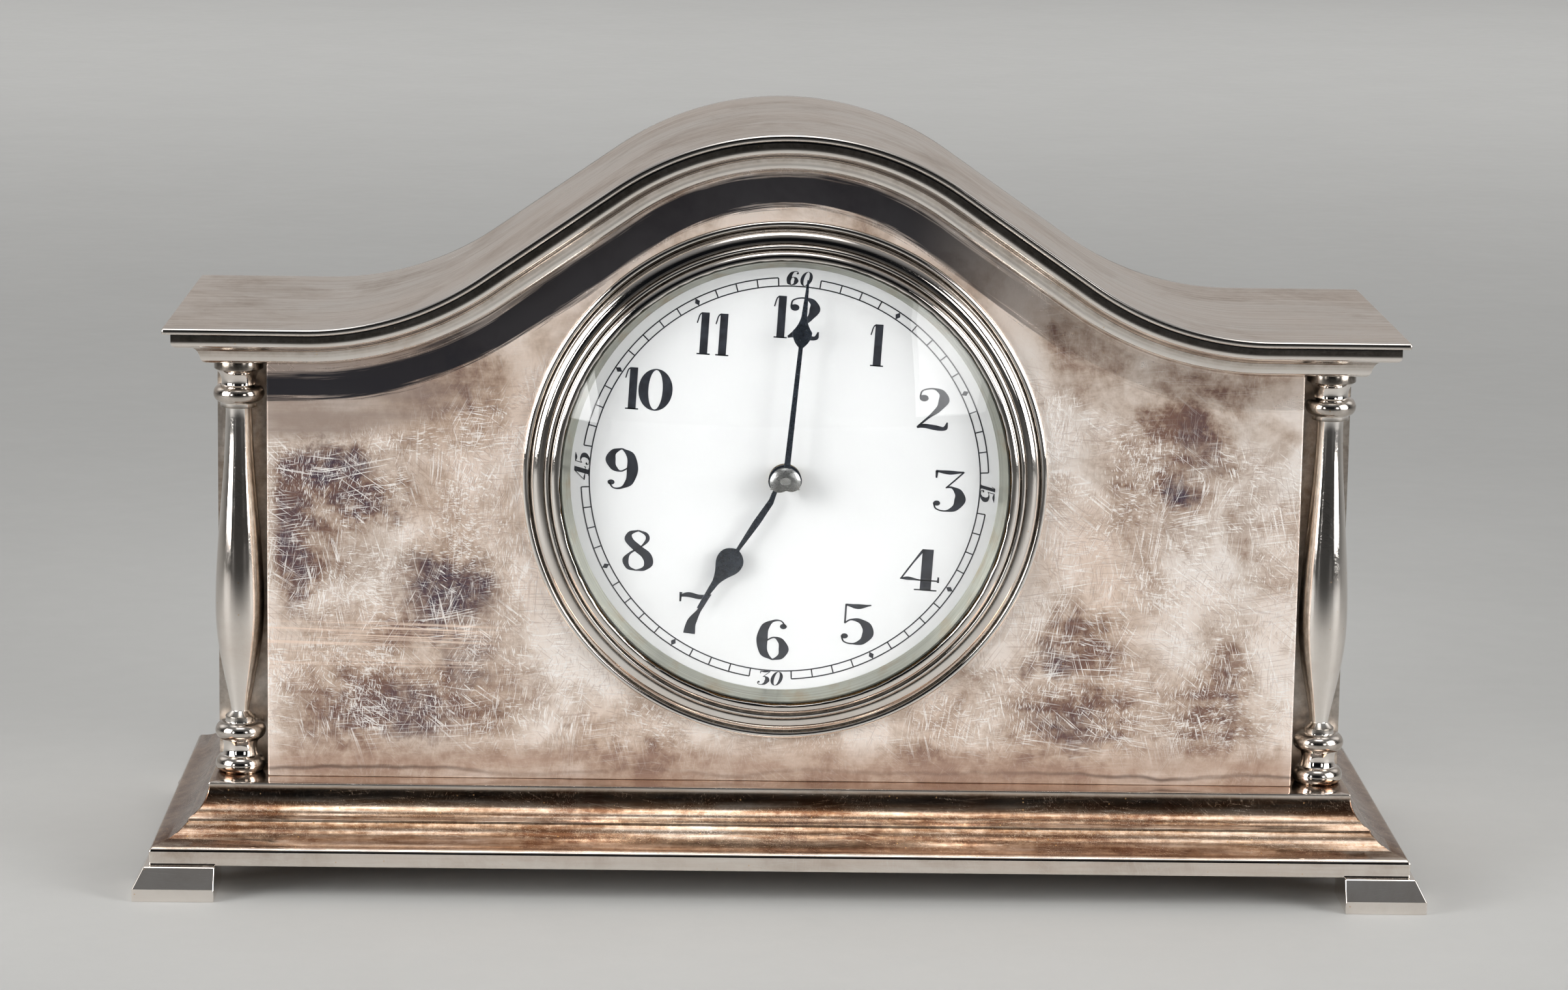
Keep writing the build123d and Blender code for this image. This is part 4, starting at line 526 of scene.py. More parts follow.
DARK_STAINS = (
    (-72.0, 66.5, 7.5, 4.0, 1.0), (-66.5, 61.3, 5.5, 3.0, 0.9), (-78.0, 54.0, 3.6, 11.0, 0.85),
    (-54.0, 45.5, 9.0, 6.0, 1.0), (-50.0, 36.0, 5.0, 6.0, 0.5), (-60.0, 27.0, 13.0, 4.5, 0.6),
    (61.4, 64.3, 3.6, 3.6, 1.0), (66.0, 73.0, 3.5, 6.0, 0.5), (44.3, 38.0, 5.0, 3.5, 0.6),
    (45.0, 26.0, 7.0, 3.5, 0.45), (70.5, 32.0, 2.5, 8.0, 0.3),
)
# How far the stains' edges wander, and where the panel's looks change: the clean ring round the bezel,
# the panel's ends, the wavy line along the foot and the level scratches
STAIN_WANDER = 24.0
CLEAN_RING = (49.0, 43.5)
PANEL_ENDS = (79.6, 81.2)
FOOT_LINE = (17.3, 18.9)
LEVEL_HEIGHT = 38.5


def stains(tree, vector, spots):
    """The strongest of several oval stains at each place."""
    masks = []
    for across, up, reach, rise, strength in spots:
        spot = use_group(tree, stain_group(), Vector=vector, Centre=(across, 0.0, up), Reach=(reach, 1.0, rise))
        masks.append(spot * strength)
    return total("MAXIMUM", masks)


@once("materials", "scratched_panel_silver")
def panel_silver(name):
    """Scratched plate of the front panel, with its clouds of brown and purple tarnish."""
    material, tree, shader, plate = silver_material(name, 0.016, 0.42, Clouds=0.68, Specks=0.25, Warmth=0.85)
    tones, vector = colours(), millimetres(tree)
    across, _, up = vector.split()
    wander = vector_math("SUBTRACT", noise(vector, 0.085, 6.0, 0.68, output="Color"), (0.5, 0.5, 0.5))
    loose = vector_math("ADD", vector, vector_math("SCALE", wander, scale=STAIN_WANDER))
    # Stains, which stop at a clean ring round the bezel and at the panel's ends
    from_dial = span(across, up - mm("dial_height"))
    halo = from_dial.spread(*CLEAN_RING, smooth=True)
    keep = 1.0 - halo.math("MAXIMUM", abs(across).spread(*PANEL_ENDS)) * 0.85
    streak = noise(placed(vector, (0.0, -14.0, 0.0), (0.05, 0.05, 0.55)), 1.0, 4.0, 0.6)
    brown = stains(tree, loose, BROWN_STAINS) * keep * streak.spread(0.35, 0.6, 0.65, 1.0)
    dark = stains(tree, loose, DARK_STAINS) * keep
    # The blue-black band under the cornice: painted shadow of the cornice and painted reflection of the dark room, and
    # smoother than the rest
    depth = use_group(tree, arch_group(), Vector=vector)
    along = Flow(add(tree, "ShaderNodeCombineXYZ", {0: across, 2: depth}))
    edge = depth + noise(measured(along, (20.0, 1.0, 0.6)), 1.0, 4.0, 0.65).spread(0.3, 0.7, -0.9, 0.9)
    start = across.spread(-84.0, -40.0, 1.9, 0.4)
    band = total("MULTIPLY", [edge.spread(6.0, 5.2), (edge - start).spread(-0.7, 0.5, 0.15, 1.0),
                              across.spread(18.0, 52.0, 1.0, 0.22, smooth=True), from_dial.spread(41.8, 43.0)])
    rubbed = depth.spread(9.0, 14.0, 0.15, 1.0, smooth=True) * up.spread(20.0, 25.0, 0.25, 1.0)
    set_inputs(plate, {"Tarnish": brown, "Dark": dark, "Cloud Size": 0.065, "Scratches": rubbed,
                       "Roughness": band.spread(0.0, 1.0, 0.30, 0.10)})
    # A wavy brown line along the foot, and long level scratches low on the left
    wave = noise(measured(vector, (14.0, 14.0, 40.0)), 1.0, 2.0).spread(0.3, 0.7, *FOOT_LINE)
    ripple = total("MULTIPLY", [abs(up - wave).spread(0.45, 0.1), abs(across).spread(34.0, 60.0, 0.25, 0.75),
                                streak.spread(0.35, 0.6, 0.4, 1.0)])
    level = noise(measured(vector, (55.0, 55.0, 0.3), (0.0, 1.5, 0.0)), 1.0, 3.0, 0.6)
    level = total("MULTIPLY", [level.spread(0.52, 0.60), across.spread(-43.0, -52.0),
                               abs(up - LEVEL_HEIGHT).spread(4.6, 2.6)])
    # Brown hairlines in the clean silver, and smooth brown fields under the band and along the foot
    hairs = use_group(tree, scratch_group(), Vector=placed(vector, shift=(140.0, 0.0, 90.0)), Density=rubbed)
    under = depth.spread(12.6, 10.6) * across.spread(-46.0, -62.0)
    base = layered(Flow(plate, "Colour"), (
        (hairs * 0.32, shade(tones.tarnish, 1.5)),
        (under * streak.spread(0.3, 0.65, 0.55, 0.95), FIELD_BROWN),
        (up.spread(24.0, 19.5) * streak.spread(0.3, 0.65, 0.3, 0.7), FOOT_BROWN),
        (level * 0.75, shade(tones.warm_silver, 1.05)),
        (ripple, shade(tones.tarnish, 0.35)),
        # painted shadow and dark reflection under the cornice
        (band * 0.97, SHADOW_BLUE_BLACK)))
    set_inputs(shader, {"Base Color": base})
    return material


@once("materials", "frosted_silver")
def sight_silver(name):
    """Frosted greenish silver inside the bezel, with fine turned rings."""
    material, tree, shader = new_material(name)
    vector = placed(millimetres(tree), shift=(0.0, 0.0, -mm("dial_height")))
    across, deep, up = vector.split()
    turned = {0: span(across, up) * TURNED_RINGS, 1: up.math("ARCTAN2", across), 2: deep * TURNED_RINGS}
    rings = noise(Flow(add(tree, "ShaderNodeCombineXYZ", turned)), 1.0, 4.0, 0.6)
    patch = noise(vector, 0.2, 4.0, 0.6)
    satin = colours().satin
    tone = tint(rings.spread(0.35, 0.65), shade(satin, 0.7), satin)
    tone = tint(patch.spread(0.5, 0.75, 0.0, 0.6), tone, shade(colours().gold, 0.45))
    set_inputs(shader, {"Base Color": tone, "Roughness": patch.spread(0.3, 0.7, 0.30, 0.48), "Metallic": 0.9})
    bump(shader, rings, 0.008)
    return material


@once("materials", "white_enamel_dial")
def enamel(name):
    """White enamel with a few dark specks."""
    material, tree, shader = new_material(name)
    white, vector = colours().enamel, millimetres(tree)
    base = tint(noise(vector, 0.05, 3.0).spread(0.35, 0.7), white, shade(white, 0.965))
    base = tint(specks(vector, 0.16, 0.022, 0.012, 1, 0.5), base, SPECK)
    ripple = noise(vector, 0.25, 3.0)
    set_inputs(shader, {"Base Color": base, "Roughness": ripple.spread(0.3, 0.7, 0.10, 0.17), "Coat Weight": 0.4,
                        "Coat Roughness": 0.06})
    bump(shader, ripple, 0.006)
    return material


@once("materials", "domed_glass")
def clear_glass(name):
    """Clear domed glass that lets light through to the dial."""
    material, tree, shader = new_material(name)
    output = shader.outputs[0].links[0].to_node
    smear = noise(millimetres(tree), 0.12, 4.0, 0.65).spread(0.55, 0.8, 0.0, 0.025)
    set_inputs(shader, {"Base Color": GLASS_TINT, "Transmission Weight": 1.0, "IOR": 1.46, "Roughness": smear})
    shadow = Flow(add(tree, "ShaderNodeLightPath"), "Is Shadow Ray")
    clear = Flow(add(tree, "ShaderNodeBsdfTransparent"))
    set_inputs(output, {"Surface": Flow(add(tree, "ShaderNodeMixShader", {0: shadow, 1: Flow(shader), 2: clear}))})
    return material


# Plain finishes: tone, its two shades, grain, stretch of the grain, metal, roughness from and to, relief in millimetres
PLAIN_FINISHES = {
    "polished_steel": ("steel", (1.0, 0.75), 0.8, EVEN, 1.0, (0.16, 0.3), 0.004),
    "grey_steel": ("steel", (0.55, 0.35), 0.9, EVEN, 1.0, (0.22, 0.38), 0.004),
    "heat_blued_steel": ("blued", (1.0, 1.7), 0.5, EVEN, 0.75, (0.22, 0.36), 0.004),
    "bright_brass": ("brass", (1.0, 0.72), 0.5, (1.0, 1.0, 6.0), 1.0, (0.18, 0.34), 0.004),
    "plinth_wood": ("wood", (1.0, 0.5), 0.35, (0.12, 1.0, 1.0), 0.0, (0.6, 0.8), 0.05),
    "dial_print_black": ("ink", (1.0, 3.0), 0.9, EVEN, 0.0, (0.28, 0.42), 0.001),
    "pale_paper": ("floor", (1.0, 0.97), 0.02, EVEN, 0.0, (0.65, 0.8), 0.01),
}


def plain_finish(name):
    """A material whose colour, roughness and surface follow one stretched noise."""
    if name in bpy.data.materials:
        return bpy.data.materials[name]
    tone, shades, scale, stretch, metallic, rough, relief = PLAIN_FINISHES[name]
    material, tree, shader = new_material(name)
    vector = placed(millimetres(tree), scale=stretch)
    first, second = (shade(getattr(colours(), tone), factor) for factor in shades)
    fine = noise(vector, scale * 6, 3.0, 0.6)
    set_inputs(shader, {"Base Color": tint(noise(vector, scale, 5.0, 0.6).spread(0.35, 0.68), first, second),
                        "Roughness": fine.spread(0.3, 0.7, *rough), "Metallic": metallic})
    bump(shader, fine, relief)
    return material


# Outlines
# Corners that bend less, or would round by less, stay sharp; a rounding takes at most this share of a side
SHARP_BEND = math.radians(25)
LEAST_ROUNDING = 1e-4
MOST_OF_SIDE = 0.45
# How fast hollows fill with grime and edges wear, and how far an edge nearby keeps a hollow clean
GRIME_GAIN = 1.3
WEAR_GAIN = 0.6
EDGE_CLEANS = 0.6


def arc(start, end, bow, steps=8):
    """Points from start to end on an arc whose middle stands off the chord by bow, to the left of its way."""
    chord = math.hypot(end[0] - start[0], end[1] - start[1])
    left = (-(end[1] - start[1]) / chord, (end[0] - start[0]) / chord)
    radius = (chord ** 2 / 4 + bow ** 2) / (2 * bow)
    middle = ((start[0] + end[0]) / 2 - left[0] * (radius - bow), (start[1] + end[1]) / 2 - left[1] * (radius - bow))
    first = math.atan2(start[1] - middle[1], start[0] - middle[0])
    turn = math.atan2(end[1] - middle[1], end[0] - middle[0]) - first
    turn = (turn + math.pi) % (2 * math.pi) - math.pi
    points = [(middle[0] + abs(radius) * math.cos(first + turn * step / steps),
               middle[1] + abs(radius) * math.sin(first + turn * step / steps)) for step in range(1, steps)]
    return [start] + points + [end]


def soften(points, radius, closed=True, steps=3):
    """An outline with its sharp corners rounded."""
    result = []
    count = len(points)
    for index, point in enumerate(points):
        if not closed and index in (0, count - 1):
            result.append(point)
            continue
        here = Vector(point)
        back, ahead = Vector(points[index - 1]) - here, Vector(points[(index + 1) % count]) - here
        bend = math.pi - back.angle(ahead, math.pi)
        reach = min(radius * math.tan(bend / 2), MOST_OF_SIDE * back.length, MOST_OF_SIDE * ahead.length)
        if bend < SHARP_BEND or reach < LEAST_ROUNDING:
            result.append(point)
            continue
        first, last = here + back.normalized() * reach, here + ahead.normalized() * reach
        for step in range(steps + 1):
            share = step / steps
            result.append(tuple(first.lerp(here, share).lerp(here.lerp(last, share), share)))
    return result


def hollow_marks(points, closed=True, reach=0.35):
    """How deep in a hollow, and how near an outer edge, each point of an outline lies, both from 0 to 1."""
    count = len(points)
    area = sum(points[i - 1][0] * points[i][1] - points[i][0] * points[i - 1][1] for i in range(count))
    side = 1.0 if area > 0 else -1.0
    run = [0.0]
    for index in range(1, count):
        run.append(run[-1] + math.dist(points[index - 1], points[index]))
    whole = run[-1] + math.dist(points[-1], points[0])
    turns = []
    for index in range(count):
        if not closed and index in (0, count - 1):
            turns.append(0.0)
            continue
        before, here, after = points[index - 1], points[index], points[(index + 1) % count]
        first = math.atan2(here[1] - before[1], here[0] - before[0])
        second = math.atan2(after[1] - here[1], after[0] - here[0])
        turns.append(side * ((second - first + math.pi) % (2 * math.pi) - math.pi))
    grime, wear = [], []
    for index in range(count):
        inner = outer = 0.0
        for other in range(count):
            gap = abs(run[index] - run[other])
            gap = min(gap, whole - gap) if closed else gap
            weight = math.exp(-(gap / reach) ** 2)
            inner += weight * max(0.0, -turns[other])
            outer += weight * max(0.0, turns[other])
        grime.append(min(1.0, GRIME_GAIN * max(0.0, inner - EDGE_CLEANS * outer)))
        wear.append(min(1.0, WEAR_GAIN * max(0.0, outer - inner)))
    return grime, wear


def profile_marks(profile, frames, closed=True, reach=0.35, painted_dark=()):
    """Grime, painted shade and wear for every point of a swept piece; the given bands (from, to, darkness) of the
    outline's height are painted dark as shade.
    """
    grime, wear = hollow_marks(profile, closed, reach)
    for index, (_, height) in enumerate(profile):
        # Bands painted dark as shade, over the grime in the hollows
        for low, high, painted_darkness in painted_dark:
            if low < height < high:
                grime[index] = max(grime[index], painted_darkness)
    return {"grime": grime * len(frames), "wear": wear * len(frames)}


CORNICE_DROP = 6.25
CORNICE_SEAT = 16.6
MITRE_ROOM = 19.0
# Bands of the cornice painted dark, a painted reflection of the dark room in front: drop from, drop to, darkness
CORNICE_PAINTED_DARK = ((0.95, 2.2, 1.0), (3.4, 4.6, 0.6))
# The plinth's underside, dull and painted dark all over as shade: height from, height to, darkness
PLINTH_PAINTED_SHADE = ((5.0, 5.27, 1.0),)


def cornice_outline():
    """The cornice's outline: inset from the roof's edge against drop below the roof's top."""
    ovolo = [(1.3, 1.0), (1.3, 1.6), (1.3, 2.1)] + arc((1.3, 2.35), (2.4, 3.32), 0.31, 8)
    hollow = arc((3.3, 3.35), (5.3, 4.8), -0.42, 10)
    fillet = arc((5.4, 5.0), (6.2, CORNICE_DROP), 0.2, 6)
    return soften(ovolo + hollow + fillet + [(CORNICE_SEAT, CORNICE_DROP), (CORNICE_SEAT, 1.0)], 0.16)


def bezel_outline():
    """The bezel's outline: from its back edge over bead, band, thread and crest to the edge rubbed over the glass."""
    bead = arc((41.6, 0.45), (40.55, 0.85), -0.42, 10)
    band = arc((40.35, 0.85), (38.2, 2.15), -0.42, 12)
    thread = arc((38.0, 2.15), (37.35, 2.62), -0.3, 8)
    crest = arc((37.15, 2.6), (35.8, 3.36), -0.3, 10)
    edge = [(35.65, 3.3), (35.65, 2.9), (36.45, 2.9)]
    return soften([(36.45, 0.0), (41.6, 0.0)] + bead + [(40.45, 0.6)] + band + [(38.1, 1.95)] + thread
                  + [(37.25, 2.4)] + crest + edge, 0.06)


def ease(share):
    """A share from 0 to 1 that starts and ends gently."""
    return share * share * (3 - 2 * share)


def swell(share):
    """A share from 0 to 1 that ends gently."""
    return math.sin(share * math.pi / 2) ** 1.15


def shaft(start, end, steps, shape):
    """Points from start to end, evenly spaced in height, with the radius following a shape."""
    shares = [step / steps for step in range(steps + 1)]
    return [(start[0] + (end[0] - start[0]) * shape(share), start[1] + share * (end[1] - start[1]))
            for share in shares]


def column_outline():
    """A column's outline, radius against height above the deck."""
    top = mm("column_height")
    slab, capital, ring, collar = 1.3, 2.6, 2.9, 0.7
    low, full, high = (1.45, 9.9), (3.9, 27.0), (2.1, top - slab - capital - ring - collar)
    ring_low = high[1] + collar
    ring_high = ring_low + ring
    points = [(0.0, 0.0)] + arc((3.4, 0.0), (3.3, 2.6), -0.65, 10) + arc((2.95, 2.7), (2.95, 5.2), 0.28, 6)
    points += arc((2.95, 5.2), (2.95, 8.1), -1.1, 12) + [(2.4, 8.1), (2.4, 9.0)]
    points += shaft(low, full, 12, swell) + shaft(full, high, 18, ease)[1:]
    points += [(2.9, high[1])] + arc((2.9, ring_low), (2.9, ring_high), -1.15, 12)
    points += arc((2.75, ring_high), (3.9, ring_high + capital), 0.45, 7) + [(3.9, top), (0.0, top)]
    return soften(points, 0.14, closed=False)[1:-1]


def plinth_outline():
    """The plinth's outline: distance out from the deck's edge against height."""
    top, low = mm("deck_top"), mm("plinth_low")
    cove = arc((0.0, 16.1), (3.0, 11.45), -0.75, 12)
    flare = arc((3.0, 11.1), (7.8, 8.2), -0.5, 10)
    nose = arc((7.8, 8.2), (8.6, 7.4), 0.23, 6)
    inside = [(8.6, low), (-1.6, low), (-1.6, 15.0)]
    return soften([(-1.0, top), (0.0, top)] + cove + flare[:-1] + nose + inside, 0.14, closed=False)


def arch_numbers():
    """Heights of the crown's and the sweeps' centres, the place of the sweeps' centres and the slope between them."""
    crown_z = mm("crown_height") - mm("crown_radius")
    sweep_z = mm("shoulder_height") + mm("sweep_radius")
    both = mm("crown_radius") + mm("sweep_radius")
    reach = math.hypot(both, mm("slope_run"))
    start = math.sqrt(reach ** 2 - (sweep_z - crown_z) ** 2)
    return crown_z, sweep_z, start, math.asin(both / reach) - math.atan2(sweep_z - crown_z, start)


ARC_STEPS = 24
SLOPE_STEPS = 6


def arch_line():
    """Places along the top of the arch from left to right: x, z and the upward normal."""
    crown_z, sweep_z, start, slope = arch_numbers()
    crown, hollow = mm("crown_radius"), mm("sweep_radius")
    right = []
    for step in range(ARC_STEPS + 1):
        turn = slope * step / ARC_STEPS
        right.append((crown * math.sin(turn), crown_z + crown * math.cos(turn), turn))
    head = right[-1]
    foot = (start - hollow * math.sin(slope), sweep_z - hollow * math.cos(slope))
    for step in range(1, SLOPE_STEPS):
        share = step / SLOPE_STEPS
        right.append((*(head[axis] * (1 - share) + foot[axis] * share for axis in (0, 1)), slope))
    for step in range(ARC_STEPS + 1):
        turn = slope * (1 - step / ARC_STEPS)
        right.append((start - hollow * math.sin(turn), sweep_z - hollow * math.cos(turn), turn))
    line = [(-x, z, -turn) for x, z, turn in reversed(right[1:])] + right
    return [(x, z, Vector((math.sin(turn), 0.0, math.cos(turn)))) for x, z, turn in line]


# Pieces
BEVEL_ANGLE = math.radians(50)
WELD_REACH = 1e-6


def lathe(middle, first, second, axis, steps):
    """Frames round an axis, turning from the first way to the second."""
    turns = [2 * math.pi * step / steps for step in range(steps)]
    return [(middle, Vector(first) * math.cos(turn) + Vector(second) * math.sin(turn), axis) for turn in turns]


def join_rings(count, rings, closed_profile=True, closed_path=False):
    """Faces between rings of as many points each, with the open ends closed."""
    faces = []
    for ring in range(rings if closed_path else rings - 1):
        here, there = ring * count, (ring + 1) % rings * count
        for index in range(count if closed_profile else count - 1):
            step = (index + 1) % count
            faces.append((here + index, here + step, there + step, there + index))
    if not closed_path:
        faces.append(tuple(range(count)))
        faces.append(tuple(reversed(range((rings - 1) * count, rings * count))))
    if not closed_profile:
        faces.append(tuple(ring * count for ring in range(rings)))
        faces.append(tuple(ring * count + count - 1 for ring in reversed(range(rings))))
    return faces


def sweep(profile, frames, closed_profile=True, closed_path=False):
    """Points and faces of an outline carried along frames (origin, first axis, second axis)."""
    points = [Vector(origin) + Vector(first) * u + Vector(second) * v
              for origin, first, second in frames for u, v in profile]
    return points, join_rings(len(profile), len(frames), closed_profile, closed_path)


def put_in_scene(name, data):
    """A new object in the scene."""
    obj = bpy.data.objects.new(name, data)
    bpy.context.scene.collection.objects.link(obj)
    return obj


def finish_piece(name, mesh, material, slot, nodes=(), rounding=0.0):
    """Put a finished mesh in the scene, parent it to the case's body, and hide the solids that it stands for."""
    mesh.materials.clear()
    mesh.materials.append(material)
    obj = put_in_scene(name, mesh)
    if rounding:
        add_bevel(obj, rounding)
    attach(obj, "case")
    if nodes:
        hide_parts(*nodes)


def new_piece(name, points, faces, material, slot="silver_plate", nodes=(), marks=None, sharp=32.0, rounding=0.0):
    """A mesh piece from points in millimetres, with outward faces and smooth shading between its sharp edges."""
    mesh = bpy.data.meshes.new(name)
    mesh.from_pydata([tuple(Vector(point) * MM) for point in points], [], faces)
    for key, values in (marks or {}).items():
        mesh.attributes.new(key, "FLOAT", "POINT").data.foreach_set("value", values)
    shape = bmesh.new()
    shape.from_mesh(mesh)
    bmesh.ops.recalc_face_normals(shape, faces=shape.faces)
    shape.to_mesh(mesh)
    shape.free()
    mesh.shade_smooth()
    mesh.set_sharp_from_angle(angle=math.radians(sharp))
    finish_piece(name, mesh, material, slot, nodes, rounding)


def add_bevel(obj, rounding):
    """Round the sharp edges with a modifier."""
    bevel = obj.modifiers.new("edge rounding", "BEVEL")
    bevel.width = rounding * MM
    bevel.segments = 2
    bevel.limit_method = "ANGLE"
    bevel.angle_limit = BEVEL_ANGLE
    bevel.harden_normals = True


def dress(names, material, rounding=0.0):
    """Give solids of the frame a material, and round their edges where they show."""
    for name in names:
        obj = NODES[name]
        for slot in obj.material_slots:
            slot.material = material
        if rounding:
            weld = obj.modifiers.new("join faces", "WELD")
            weld.merge_threshold = WELD_REACH
            add_bevel(obj, rounding)


PLINTH_STEPS = 12
COLUMN_STEPS = 96
BEZEL_STEPS = 192
# The bezel's inner edge, rubbed over the glass by hand: radius inside which it wavers, and by how much
RUBBED_RADIUS = 35.8
RUBBED_WAVER = (-0.06, 0.09)
# Distance from the roof's edges beyond which they show no wear
ROOF_EDGE = 1.8


class CLOCK_OT_plinth(bpy.types.Operator):
    """Make the moulded plinth and finish its feet and filling"""
    bl_idname = "clock.plinth"
    bl_label = "Plinth and feet"

    def execute(self, context):
        outline = plinth_outline()
        wide, deep = mm("deck_half_width"), mm("deck_half_depth")
        corners = [Vector((x, y, 0.0)) for x, y in ((wide, -deep), (wide, deep), (-wide, deep), (-wide, -deep))]
        frames = []
        for index, corner in enumerate(corners):
            out = (math.copysign(1.0, corner.x), math.copysign(1.0, corner.y), 0.0)
            flat = (out[0], 0.0, 0.0) if index % 2 == 0 else (0.0, out[1], 0.0)
            side = corners[(index + 1) % 4] - corner
            frames.append((corner, out, UP))
            frames += [(corner + side * (step / PLINTH_STEPS), flat, UP) for step in range(1, PLINTH_STEPS)]
        new_piece("plinth_moulding", *sweep(outline, frames, closed_profile=False, closed_path=True), plinth_silver(),
                  nodes=("plinth",), rounding=0.2,
                  marks=profile_marks(outline, frames, closed=False, reach=0.5, painted_dark=PLINTH_PAINTED_SHADE))
        dress(["foot_front_left", "foot_front_right", "foot_back_left", "foot_back_right"], moulding_silver(), 0.22)
        dress(["plinth_core"], plain_finish("plinth_wood"))
        return {"FINISHED"}


class CLOCK_OT_roof(bpy.types.Operator):
    """Make the roof plate and the mitred cornice"""
    bl_idname = "clock.roof"
    bl_label = "Roof and cornice"

    def execute(self, context):
        wide, deep, level = mm("roof_half_width"), mm("roof_half_depth"), mm("shoulder_height")
        line = arch_line()
        far, sheet = 2 * deep, mm("roof_sheet")
        across = (0.0, ROOF_EDGE, far - ROOF_EDGE, far)
        plate = [(y, 0.0) for y in across] + [(y, sheet) for y in reversed(across)]
        plate = soften(plate, mm("roof_rounding"), steps=5)
        whole = [(-wide, level, Vector(UP))] + line + [(wide, level, Vector(UP))]
        frames = [((x, -deep, z), (0, 1, 0), -normal) for x, z, normal in whole]
        new_piece("roof_top", *sweep(plate, frames), roof_silver(), nodes=("roof_plate",),
                  marks=profile_marks(plate, frames, reach=0.8), rounding=0.35)
        strips = {}
        for name, side in (("front", -1), ("back", 1)):
            inward = (0, -side, 0)
            strips[name] = [((-wide, side * deep, level), (1, -side, 0), DOWN),
                            ((-wide + MITRE_ROOM, side * deep, level), inward, DOWN)]
            strips[name] += [((x, side * deep, z), inward, -normal) for x, z, normal in line]
            strips[name] += [((wide - MITRE_ROOM, side * deep, level), inward, DOWN),
                             ((wide, side * deep, level), (-1, -side, 0), DOWN)]
        for name, side in (("left", -1), ("right", 1)):
            strips[name] = [((side * wide, end * deep, level), (-side, -end, 0), DOWN) for end in (-1, 1)]
        outline = cornice_outline()
        # The cornice's fascia and hollow are painted dark, a painted reflection of the dark room
        for name, frames in strips.items():
            new_piece(f"cornice_moulding_{name}", *sweep(outline, frames), moulding_silver(),
                      nodes=(f"cornice_{name}",), marks=profile_marks(outline, frames, painted_dark=CORNICE_PAINTED_DARK))
        return {"FINISHED"}


class CLOCK_OT_columns(bpy.types.Operator):
    """Turn the two columns"""
    bl_idname = "clock.columns"
    bl_label = "Columns"

    def execute(self, context):
        outline = column_outline()
        for name, side in (("left", -1), ("right", 1)):
            foot = (side * mm("column_x"), mm("column_y"), mm("deck_top"))
            frames = lathe(foot, (1.0, 0.0, 0.0), (0.0, 1.0, 0.0), UP, COLUMN_STEPS)
            new_piece(f"turned_column_{name}", *sweep(outline, frames, closed_profile=False, closed_path=True),
                      moulding_silver(), nodes=(f"column_{name}",), marks=profile_marks(outline, frames, closed=False))
        return {"FINISHED"}


class CLOCK_OT_case(bpy.types.Operator):
    """Finish the panels, walls, back door and its fittings"""
    bl_idname = "clock.case"
    bl_label = "Case panels"

    def execute(self, context):
        dress(["front_panel"], panel_silver(), mm("edge_rounding"))
        dress(["side_wall_left", "side_wall_right"], wall_silver())
        dress(["back_panel", "back_door"], roof_silver(), mm("edge_rounding"))
        dress(["door_knob"], moulding_silver())
        dress(["hinge_pin"], plain_finish("polished_steel"))
        return {"FINISHED"}


class CLOCK_OT_bezel(bpy.types.Operator):
    """Turn the bezel and finish the sight ring and the glass"""
    bl_idname = "clock.bezel"
    bl_label = "Bezel and glass"

    def execute(self, context):
        outline = bezel_outline()
        middle = (0.0, mm("panel_face"), mm("dial_height"))
        frames = lathe(middle, (1.0, 0.0, 0.0), UP, (0.0, -1.0, 0.0), BEZEL_STEPS)
        points, faces = sweep(outline, frames, closed_path=True)
        chance = random.Random(5)
        rough = [chance.uniform(*RUBBED_WAVER) for _ in frames]
        for ring, (_, outward, _) in enumerate(frames):
            for index, (radius, _) in enumerate(outline):
                if radius < RUBBED_RADIUS:
                    points[ring * len(outline) + index] += outward * rough[ring]
        new_piece("bezel_ring", points, faces, moulding_silver(), nodes=("bezel",),
                  marks=profile_marks(outline, frames, reach=0.28))
        dress(["sight_ring"], sight_silver())
        dress(["glass"], clear_glass())
        return {"FINISHED"}


